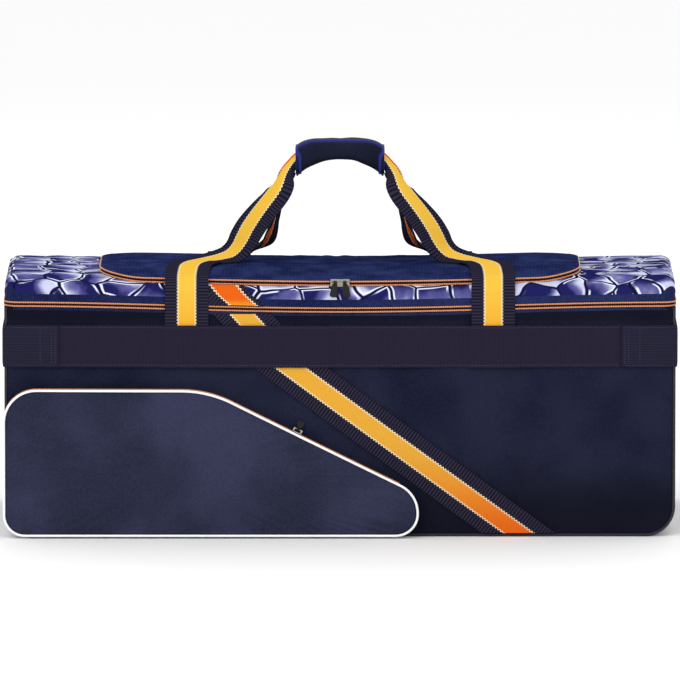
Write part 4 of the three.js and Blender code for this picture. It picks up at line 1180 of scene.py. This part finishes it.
def belt_face(side, x):
    """How far the belt's outer face stands off the wall. It is lifted by the thickness of
    the webbing that it covers, with smooth ramps beside each."""
    centre = (STRAP.spread if side < 0 else STRAP.rear_spread) / 2
    near, far = centre - STRAP.width / 2 - 2 * GAP, centre + STRAP.width / 2 + 2 * GAP
    left, right = -far, -near
    if side < 0:
        left = min(left, band_at(BELT.top)[0] - band_at(BELT.top)[1])
        right = band_at(BELT.bottom)[0] + band_at(BELT.bottom)[1] + 2 * GAP
    raised = [
        ramp(x, start - BELT.ramp, start) * ramp(-x, -end - BELT.ramp, -end)
        for start, end in ((left, right), (near, far))
    ]
    over = np.maximum(*raised)
    return GAP + WEBBING + over * (GAP + WEBBING + EASE)


def belt(side):
    """Belt along a wall, over the strap ends and the sloping band."""
    reach = HALF_LENGTH - PANEL_INSET - GAP
    x = np.linspace(-reach, reach, 420)[:, None]
    z = np.linspace(BELT.bottom, BELT.top, 12)[None, :]
    proud = belt_face(side, x) + 0 * z
    points = on_panel(side, x, z, proud)
    u = np.broadcast_to(x, proud.shape)
    v = np.broadcast_to(z - (BELT.bottom + BELT.top) / 2, proud.shape)
    if side > 0:
        points, u, v = points[::-1], u[::-1], v[::-1]
    return cloth_wall(points, WEBBING - 0.3, u, v)


def sloping_band():
    """Band from the zip down across the front wall. Its map turns with the band, so that
    the stripe and the ribs follow its slope."""
    low, bend, turn, top = BAND_HEIGHT
    upper = [np.linspace(top, turn, 8)[:-1], np.linspace(turn, bend, 16)[:-1]]
    z = np.concatenate([*upper, np.linspace(bend, low, 150)])
    middle, run = band_at(z)
    slopes = np.diff(BAND_MIDDLE) / np.diff(BAND_HEIGHT)
    slope = np.where(z > turn - 0.5, slopes[2], np.where(z > bend - 0.5, slopes[1], slopes[0]))
    along = unit(np.stack([-slope, -np.ones_like(slope)], -1))
    off = run[:, None] * np.linspace(-1, 1, 17)[None, :]
    x = middle[:, None] + off
    length = run_length(np.stack([middle, z], -1))
    u = length[:, None] + off * along[:, :1]
    v = off * -along[:, 1:]
    return cloth_wall(on_panel(-1, x, z[:, None] + 0 * x, GAP + WEBBING), WEBBING - 0.3, u, v)


def lid_band():
    """Upper end of the band, up the front of the lid to its pocket's zip and beside the
    strap that crosses it."""
    height = np.linspace(LID_BAND.rise, GAP, 26)[:, None]
    centre = LID_BAND.start - LID_BAND.slope * height
    left = np.maximum(centre - LID_BAND.half, (STRAP.width - STRAP.spread) / 2 + GAP)
    x = left + (centre + LID_BAND.half - left) * np.linspace(0, 1, 16)[None, :]
    share = np.clip((height - LID_SKIRT) / LID_RISE, 0, 0.97)
    y = HALF_DEPTH * (1 - share**LID_SQUARENESS) ** (1 / LID_SQUARENESS)
    power = LID_SQUARENESS - 1
    lean = unit(np.stack([(y / HALF_DEPTH) ** power / HALF_DEPTH, share**power / LID_RISE], -1))
    proud = GAP + EASE + WEBBING
    foot = zip_height(x) + SKIRT_FOOT + height
    points = np.stack([x, -y - proud * lean[..., 0] + 0 * x, foot + proud * lean[..., 1]], -1)
    stretch = math.hypot(LID_BAND.slope, 1.0)
    off = x - centre
    u = (LID_BAND.rise - height) * stretch + off * LID_BAND.slope / stretch
    v = off / stretch - LID_BAND.shift
    return cloth_wall(points, WEBBING - 0.4, u, v)


def end_handle(side):
    """Wide handle round one end: sewn over the belt at both walls and free across the
    end, with a tight bend at each corner."""
    proud = 2 * GAP + WEBBING + EASE
    middle = (BELT.bottom + BELT.top) / 2
    sewn = np.linspace(HALF_LENGTH - BELT.tab, HALF_LENGTH - HANDLE_BEND, 30)
    wall = HALF_DEPTH + belly(sewn, middle) + proud
    turn = np.linspace(0, np.pi / 2, 10)[1:]
    radius = HANDLE_BEND + GAP
    x = np.concatenate([sewn, sewn[-1] + radius * np.sin(turn)])
    y = np.concatenate([wall, wall[-1] - radius * (1 - np.cos(turn))])
    free = np.linspace(y[-1], 0, 30)[1:]
    x = np.concatenate([x, np.full(free.size, x[-1])])
    y = np.concatenate([y, free])
    nx = np.concatenate([np.zeros(sewn.size), np.sin(turn), np.ones(free.size)])
    ny = np.concatenate([np.ones(sewn.size), np.cos(turn), np.zeros(free.size)])
    path = np.stack([x, -y], -1)
    normal = np.stack([nx, -ny], -1)
    path = np.concatenate([path, (path * [1, -1])[::-1][1:]])
    normal = np.concatenate([normal, (normal * [1, -1])[::-1][1:]])
    z = np.linspace(BELT.bottom, BELT.top, 14)
    soft = 1 - 0.35 * (np.abs(2 * (z - middle) / (BELT.top - BELT.bottom)) ** 8)
    outer = path[:, None] + normal[:, None] * (WEBBING * soft)[None, :, None]
    points = np.stack([side * outer[..., 0], outer[..., 1], np.broadcast_to(z, outer.shape[:2])], -1)
    v = np.broadcast_to(z - middle, outer.shape[:2])
    u = np.broadcast_to(run_length(path)[:, None], outer.shape[:2])
    if side < 0:
        points, u, v = points[::-1], u[::-1], v[::-1]
    return cloth_wall(points, WEBBING - 0.3, u, v)


def stitch_row(side, x, z, proud, look):
    """A line of short sunk threads on a wall, evenly spaced between two ends."""
    length = math.hypot(x[1] - x[0], z[1] - z[0])
    bodies = []
    pitch = look.stitch_length + look.stitch_gap
    for start in np.arange(look.stitch_gap / 2, length - look.stitch_length, pitch):
        share = (start + look.stitch_length * np.array([0, 0.25, 0.75, 1])) / length
        px, pz = x[0] + (x[1] - x[0]) * share, z[0] + (z[1] - z[0]) * share
        out = proud(px) + np.array([-STITCH.dip, STITCH.stand, STITCH.stand, -STITCH.dip])
        bodies.append(cord_body(on_panel(side, px, pz, out), look.stitch_radius, 6, up=(0, side, 0)))
    return bodies


def stitching(look):
    """Rows of stitches along both edges of the belts, across the sewn ends of the end
    handles and along their edges."""
    bodies = []
    inner, outer = HALF_LENGTH - BELT.tab, HALF_LENGTH - STITCH.corner
    first = STITCH.rows[0]
    for side in (-1, 1):
        belt_out = lambda x: belt_face(side, x)
        tab_out = lambda x: 0 * x + 2 * (GAP + WEBBING) + EASE
        for z in (BELT.bottom + STITCH.edge, BELT.top - STITCH.edge):
            bodies += stitch_row(
                side, (-inner + STITCH.edge, inner - STITCH.edge), (z, z), belt_out, look
            )
            for end in (-1, 1):
                bodies += stitch_row(side, (end * (inner + first), end * outer), (z, z), tab_out, look)
        for end in (-1, 1):
            for row in STITCH.rows:
                x = (end * (inner + row),) * 2
                bodies += stitch_row(side, x, (BELT.bottom + first, BELT.top - first), tab_out, look)
    return joined(*bodies)


# Rows of a strap's left leg. The edge rows hold how far proud, in half depths, and how far
# above the skirt, in lid rises. The top rows hold shares of the spread and the half depth.
# The rise rows add the share of the way up, facing, curl in degrees and flatness.
FRONT_EDGE = ((0.0106, 0.417, 1, 0.3), (-0.0206, 0.771, 0.7, 0.7), (-0.0647, 1.063, 0.4, 0.9))
REAR_EDGE = ((0.0124, 0.08, 1, 0.25), (-0.0206, 0.5, 0.75, 0.7), (-0.0824, 0.78, 0.4, 0.9))
FRONT_TOP = ((-0.499, 0.87), (-0.496, 0.73), (-0.49, 0.59), (-0.476, 0.46), (-0.455, 0.353))
REAR_TOP = ((-0.497, 0.78), (-0.487, 0.73), (-0.46, 0.67))
FRONT_RISE = (
    (-0.424, 0.2765, 0.031, -0.08, -0.15, 0.98, 0, 0),
    (-0.3897, 0.2235, 0.043, -0.2, -0.25, 0.95, 0, 0),
    (-0.3603, 0.1941, 0.068, -0.45, -0.4, 0.8, 5, 0),
    (-0.3382, 0.1824, 0.125, -0.62, -0.52, 0.58, 10, 0),
    (-0.3211, 0.1765, 0.205, -0.68, -0.62, 0.38, 14, 0),
    (-0.3027, 0.1735, 0.3, -0.68, -0.62, 0.38, 20, 0),
    (-0.2733, 0.1735, 0.42, -0.66, -0.58, 0.48, 28, 0),
    (-0.2414, 0.1735, 0.535, -0.68, -0.54, 0.5, 38, 0),
    (-0.2145, 0.1676, 0.635, -0.7, -0.5, 0.5, 52, 0.05),
)
REAR_RISE = (
    (-0.41, 0.61, -0.01, -0.03, -0.05, 1, 0, 0),
    (-0.372, 0.55, 0.022, -0.25, -0.12, 0.95, 0, 0),
    (-0.344, 0.48, 0.085, -0.65, -0.25, 0.7, 3, 0),
    (-0.322, 0.415, 0.16, -0.93, -0.3, 0.35, 6, 0),
    (-0.31, 0.36, 0.245, -0.95, -0.24, 0.3, 10, 0),
    (-0.297, 0.315, 0.34, -0.97, -0.14, 0.3, 16, 0),
    (-0.288, 0.26, 0.47, -0.95, -0.1, 0.35, 28, 0),
    (-0.28, 0.2, 0.61, -0.88, -0.25, 0.45, 48, 0.05),
)
# Rows in the grip, whose places are shares of its length and depth
GRIP_ROWS = (
    (-0.6639, 0.35, 0.75, -0.7, -0.22, 0.6, 114, 0.34),
    (-0.5714, 0.2433, 0.848, -0.6, -0.08, 0.72, 152, 0.5),
    (-0.4874, 0.215, 0.912, -0.45, -0.04, 0.86, 156, 0.45),
    (-0.3782, 0.2117, 0.965, -0.25, -0.02, 0.96, 158, 0.4),
    (-0.2521, 0.2117, 1, 0, 0, 1, 158, 0.35),
)


def pocket_top(x, y, back):
    """Height of the lid pocket, whose edge is a distance back from the lid's edge."""
    share = np.clip((HALF_DEPTH - abs(y) - back) / (LID_POCKET.depth / 2), 0, 1)
    return lid_height(x, y) + GAP + LID_POCKET.wall + LID_POCKET.puff * np.sqrt(1 - (1 - share) ** 2)


def strap_route(side):
    """Rows of centre, facing, curl and flatness from under the belt, up the wall, over the
    lid pocket and up to the grip, then mirrored down the other leg."""
    front = side < 0
    width = STRAP.spread if front else STRAP.rear_spread
    layer = GAP + WEBBING / 2 + EASE
    x = -width / 2
    skirt = zip_height(x) + SKIRT_FOOT + LID_SKIRT
    rows = []
    for z in (STRAP.tuck, (STRAP.tuck + BELT.top) / 2, BELT.top + WEBBING, zip_height(x), skirt):
        rows.append((x, side * (HALF_DEPTH + belly(x, z) + layer), z, 0, side, 0, 0, 0))
    for proud, above, lean, up in FRONT_EDGE if front else REAR_EDGE:
        rows.append(
            (x, side * HALF_DEPTH * (1 + proud), skirt + above * LID_RISE, 0, side * lean, up, 0, 0)
        )
    back = LID_POCKET.set_back if front else 2 * HALF_DEPTH - LID_POCKET.set_back - LID_POCKET.depth
    for across, share in FRONT_TOP if front else REAR_TOP:
        along, y = across * width, share * HALF_DEPTH
        slope = (lid_height(along, side * y + 1) - lid_height(along, side * y - 1)) / 2
        rows.append(
            (along, side * y, pocket_top(along, side * y, back) + layer + EASE, 0, -slope, 1, 0, 0)
        )
    foot = lid_height(FRONT_RISE[1][0] * STRAP.spread, 0.0) + GAP + LID_POCKET.wall + LID_POCKET.puff
    crown = GRIP.top - GRIP.pad - GAP - WEBBING / 2 - 3 * EASE
    rise_rows = FRONT_RISE if front else REAR_RISE
    for table, length, depth in ((rise_rows, width, HALF_DEPTH), (GRIP_ROWS, GRIP.length, GRIP.depth)):
        for along, aside, rise, fx, fy, fz, curl, flat in table:
            z = foot + (crown - foot) * rise
            rows.append((along * length, side * aside * depth, z, fx, -side * fy, fz, curl, flat))
    left = np.array(rows, float)
    right = left[::-1] * [-1, 1, 1, -1, 1, 1, 1, 1]
    return np.concatenate([left, right])


def strap(side):
    """Carrying strap: a cross-section that curls from a flat line to nearly a tube, carried
    along the strap's route."""
    rows = smooth_path(strap_route(side), 520)
    centre, facing = rows[:, :3], rows[:, 3:6]
    along = unit(np.gradient(centre, axis=0))
    facing = unit(facing - (facing * along).sum(-1, keepdims=True) * along)
    sideways = np.cross(along, facing)
    curl = np.radians(np.maximum(rows[:, 6], 0.5))[:, None]
    rounded = 1 - np.clip(rows[:, 7], 0, 1)[:, None]
    radius = STRAP.width / 2 / curl
    share = np.linspace(-1, 1, 21)[None, :]
    sine, cosine = np.sin(curl * share), np.cos(curl * share)
    normal = unit(np.stack([sine * rounded, cosine], -1))
    half = (WEBBING - 0.2) / 2
    across = radius * sine + half * normal[..., 0]
    lifted = radius * (cosine - 1) * rounded + half * normal[..., 1]
    points = (
        centre[:, None] + across[..., None] * sideways[:, None] + lifted[..., None] * facing[:, None]
    )
    back = points - 2 * half * (normal[..., :1] * sideways[:, None] + normal[..., 1:] * facing[:, None])
    length = run_length(centre)
    u = np.broadcast_to(length[:, None], points.shape[:2])
    v = np.broadcast_to(share * STRAP.width / 2, points.shape[:2])
    body = cloth_wall(points, 2 * half, u, v)
    ring = np.concatenate([points, back[:, ::-1]], 1).reshape(-1, 3)
    return ring, body[1], body[2]


class KITBAG_OT_webbing(Operator):
    """Builds the belts, the sloping band, the end handles and the carrying straps"""

    bl_idname = "kitbag.webbing"
    bl_label = "Webbing"

    def execute(self, context):
        look = settings(context).webbing
        belting = shared(
            "ribbed polyester webbing", ribbed_webbing, look.belt_dark, look.belt_light, 2.8, True
        )
        tabs = shared("fine polyester webbing", ribbed_webbing, look.tab_dark, look.tab_light, 3.0)

        def striped(name, low, high, start, end):
            """Striped webbing whose colour goes from low to high between two heights."""
            return shared(name, striped_webbing, look, low, high, start, end)

        band = striped("striped band webbing", look.stripe_orange, look.stripe_band, -10, 130)
        upper = striped("striped lid webbing", look.stripe_low, look.stripe_orange, 308, 322)
        front = striped("striped strap webbing", look.stripe_low, look.stripe_top, 240, 345)
        rear = striped("orange strap webbing", look.stripe_orange, look.stripe_orange, 240, 345)
        for name, body, material, node, finish in (
            ("front_belt", belt(-1), belting, "belt_front", "belt_webbing"),
            ("back_belt", belt(1), belting, "belt_back", "belt_webbing"),
            ("left_handle", end_handle(-1), tabs, "end_handle_left", "handle_webbing"),
            ("right_handle", end_handle(1), tabs, "end_handle_right", "handle_webbing"),
            ("sloping_webbing", sloping_band(), band, "sloping_band", "strap_webbing"),
            ("lid_webbing", lid_band(), upper, "lid_band", "strap_webbing"),
            ("front_carrying_strap", strap(-1), front, "front_strap", "strap_webbing"),
            ("rear_carrying_strap", strap(1), rear, "rear_strap", "strap_webbing"),
        ):
            add_piece(name, body, [material], hides=[node])
        even = {"Roughness": 0.6, "Specular_IOR_Level": 0.1}
        thread = shared(
            "polyester thread", even_material, look.thread, look.tab_light, 0.002, 0.0001, **even
        )
        add_piece("stitches", stitching(look), [thread])
        return {"FINISHED"}


# Grip


def grip_section(share, angle, inset):
    """A point of the wrap's section at a share of its half length. The section is a
    superellipse whose bottom droops and whose mouth flares towards both ends."""
    end = np.abs(share) ** 6
    top = GRIP.top - GRIP.shoulder * end - inset
    bottom = GRIP.top - GRIP.height - GRIP.droop * share**2 - 1.5 * GRIP.flare * end + inset
    half = GRIP.depth / 2 + GRIP.flare * end - inset
    square = np.where(
        np.sin(angle) < 0, GRIP.squareness + (0.9 - GRIP.squareness) * end, GRIP.squareness
    )
    bend = lambda value: np.sign(value) * np.abs(value) ** square
    y = half * bend(np.cos(angle))
    z = (top + bottom) / 2 + (top - bottom) / 2 * bend(np.sin(angle))
    return np.stack(np.broadcast_arrays(share * GRIP.length / 2, y, z), -1)


def even_angles(count):
    """Angles that space a squarish section's points evenly."""
    fine = np.linspace(0, 2 * np.pi, 1441)
    ring = grip_section(np.array(0.0), fine, 0.0)
    length = run_length(ring)
    return np.interp(np.linspace(0, length[-1], count, endpoint=False), length, fine)


def grip_wrap():
    """Padded sleeve: the section carried along the grip, with a soft swell between its
    bound ends."""
    share = np.linspace(-0.985, 0.985, 61)[None, :]
    angle = even_angles(96)[:, None]
    soft = 0.5 + 0.4 * folds(angle * 9, share * 50, 41, 26)
    points = grip_section(share, angle, 0.9 * soft * (1 - share**8) + 0.5)
    points[..., 0] *= -1
    u = np.broadcast_to(share * GRIP.length / 2, points.shape[:2])
    v = np.broadcast_to(np.arange(96)[:, None] * 1.6, points.shape[:2])
    return cloth_wall(points, GRIP.pad - 0.8, u, v, close_rows=True)


def grip_binding(look):
    """Binding round both mouths, and along the top of the front where the wrap closes."""
    angle = even_angles(80)
    half = look.binding_width / 2
    bodies = []
    for end in (-1, 1):
        share = end * (1 - look.binding_width / GRIP.length)
        ring = grip_section(np.full(80, share), angle, 0.1)
        middle = ring.mean(0)
        out = unit((ring - middle) * [0, 1, 1])
        turn = np.linspace(0, 2 * np.pi, 10, endpoint=False)
        body = (
            ring[:, None]
            + half * np.cos(turn)[None, :, None] * np.array([1.0, 0, 0])
            + 1.25 * np.sin(turn)[None, :, None] * out[:, None]
        )
        faces = grid_faces(80, 10, True, True)
        maps = face_map(np.linspace(0, 170, 81)[:, None], np.linspace(0, 16, 11)[None, :])
        bodies.append((body.reshape(-1, 3), faces, maps))
    share = np.linspace(-0.93, 0.93, 60)
    line = grip_section(share, np.full(60, math.radians(112.0)), 0.1)
    bodies.append(cord_body(line, half, 10, squash=0.75, up=(0, -0.5, 0.86)))
    return joined(*bodies)


class KITBAG_OT_grip(Operator):
    """Builds the padded wrap round both straps, and its binding"""

    bl_idname = "kitbag.grip"
    bl_label = "Grip"

    def execute(self, context):
        look = settings(context).grip
        cloth = shared(
            "padded polyester", coated_polyester, look.cloth_dark, look.cloth_light, weave=2.0
        )
        tones = (look.binding_dark, look.binding)
        bound = shared(
            "blue grosgrain binding", ribbed_webbing, *tones, 2.2, across=True, roughness=0.5
        )
        wrap = add_piece("grip_wrap_cloth", grip_wrap(), [cloth], ["grip_wrap"])
        add_piece("grip_binding", grip_binding(look), [bound])
        return {"FINISHED"}


class KITBAG_OT_pullers(Operator):
    """Finishes the zip sliders and their pullers"""

    bl_idname = "kitbag.pullers"
    bl_label = "Sliders and pullers"

    def execute(self, context):
        look = settings(context).pullers
        metal = shared(
            "nickel plated zinc",
            even_material,
            look.metal,
            look.metal_shade,
            0.004,
            0.0002,
            Roughness=0.24,
            Metallic=1.0,
        )
        rubber = shared(
            "moulded rubber",
            even_material,
            look.rubber,
            None,
            0.001,
            0.0001,
            Roughness=0.5,
            Specular_IOR_Level=0.2,
        )
        for name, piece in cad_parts.items():
            for ending, material in (("_slider", metal), ("_puller", rubber)):
                if name.endswith(ending):
                    piece.data.materials.clear()
                    piece.data.materials.append(material)
        return {"FINISHED"}


class KITBAG_OT_stage(Operator):
    """Sets the camera, the floor and the soft light of a studio"""

    bl_idname = "kitbag.stage"
    bl_label = "Stage"

    def execute(self, context):
        look = settings(context).stage
        scene = context.scene
        lens = bpy.data.cameras.new("camera")
        lens.lens = look.lens
        lens.clip_end = 100
        distance = look.frame_width / 1000 * look.lens / lens.sensor_width
        # The middle of the picture, in the plane of the bag's front
        target = np.array([0.0, -HALF_DEPTH / 1000, 0.2648])
        back = np.array([0.0, -math.cos(look.elevation), math.sin(look.elevation)])
        camera = bpy.data.objects.new("camera", lens)
        camera.location = target + distance * back
        camera.rotation_euler = (math.pi / 2 - look.elevation, 0, 0)
        scene.collection.objects.link(camera)
        scene.camera = camera
        mesh = bpy.data.meshes.new("floor")
        reach = 60.0
        mesh.from_pydata(
            [(-reach, -reach, 0), (reach, -reach, 0), (reach, reach, 0), (-reach, reach, 0)],
            [],
            [(0, 1, 2, 3)],
        )
        floor = bpy.data.objects.new("floor", mesh)
        mesh.materials.append(
            shared(
                "painted studio floor",
                even_material,
                look.floor,
                None,
                0.2,
                0.0001,
                Roughness=0.9,
                IOR=1.4,
            )
        )
        scene.collection.objects.link(floor)
        world = bpy.data.worlds.new("soft studio light")
        world.use_nodes = True
        world.node_tree.nodes["Background"].inputs["Color"].default_value = (1, 1, 1, 1)
        world.node_tree.nodes["Background"].inputs["Strength"].default_value = 1.0
        scene.world = world
        scene.view_settings.view_transform = "Standard"
        for name, place, turn, size, power in (
            ("key_light", (-1.6, -3.2, 2.6), (52, 0, -26), 2.2, 45),
            ("fill_light", (2.6, -2.6, 1.6), (64, 0, 45), 2.4, 14),
            ("back_light", (0.3, 2.6, 2.4), (-46, 0, 0), 2.0, 14),
        ):
            lamp = bpy.data.lights.new(name, "AREA")
            lamp.shape = "SQUARE"
            lamp.size = size
            lamp.energy = power
            light = bpy.data.objects.new(name, lamp)
            light.location = place
            light.rotation_euler = [math.radians(a) for a in turn]
            scene.collection.objects.link(light)
        return {"FINISHED"}


STEPS = (
    KITBAG_OT_stage,
    KITBAG_OT_body,
    KITBAG_OT_lid,
    KITBAG_OT_zips,
    KITBAG_OT_pocket,
    KITBAG_OT_webbing,
    KITBAG_OT_grip,
    KITBAG_OT_pullers,
)
GROUPS = {
    "body": KitBagBody,
    "zips": KitBagZips,
    "lid": KitBagLid,
    "pocket": KitBagPocket,
    "webbing": KitBagWebbing,
    "grip": KitBagGrip,
    "pullers": KitBagPullers,
    "stage": KitBagStage,
}


class KITBAG_PT_panel(Panel):
    """Lists the steps and their settings"""

    bl_label = "Kit Bag"
    bl_idname = "KITBAG_PT_panel"
    bl_space_type = "VIEW_3D"
    bl_region_type = "UI"
    bl_category = "Kit Bag"

    def draw(self, context):
        layout = self.layout
        for step in STEPS:
            layout.operator(step.bl_idname)
        for name, group in GROUPS.items():
            box = layout.box()
            box.label(text=name.capitalize())
            for setting in group.__annotations__:
                box.prop(getattr(context.scene, f"kit_bag_{name}"), setting)


def register():
    for name, group in GROUPS.items():
        bpy.utils.register_class(group)
        setattr(bpy.types.Scene, f"kit_bag_{name}", PointerProperty(type=group))
    for entry in (*STEPS, KITBAG_PT_panel):
        bpy.utils.register_class(entry)


def unregister():
    for entry in (KITBAG_PT_panel, *reversed(STEPS)):
        bpy.utils.unregister_class(entry)
    for name, group in GROUPS.items():
        delattr(bpy.types.Scene, f"kit_bag_{name}")
        bpy.utils.unregister_class(group)


def main():
    register()
    for step in STEPS:
        family, action = step.bl_idname.split(".")
        getattr(getattr(bpy.ops, family), action)()


if __name__ == "__main__":
    main()
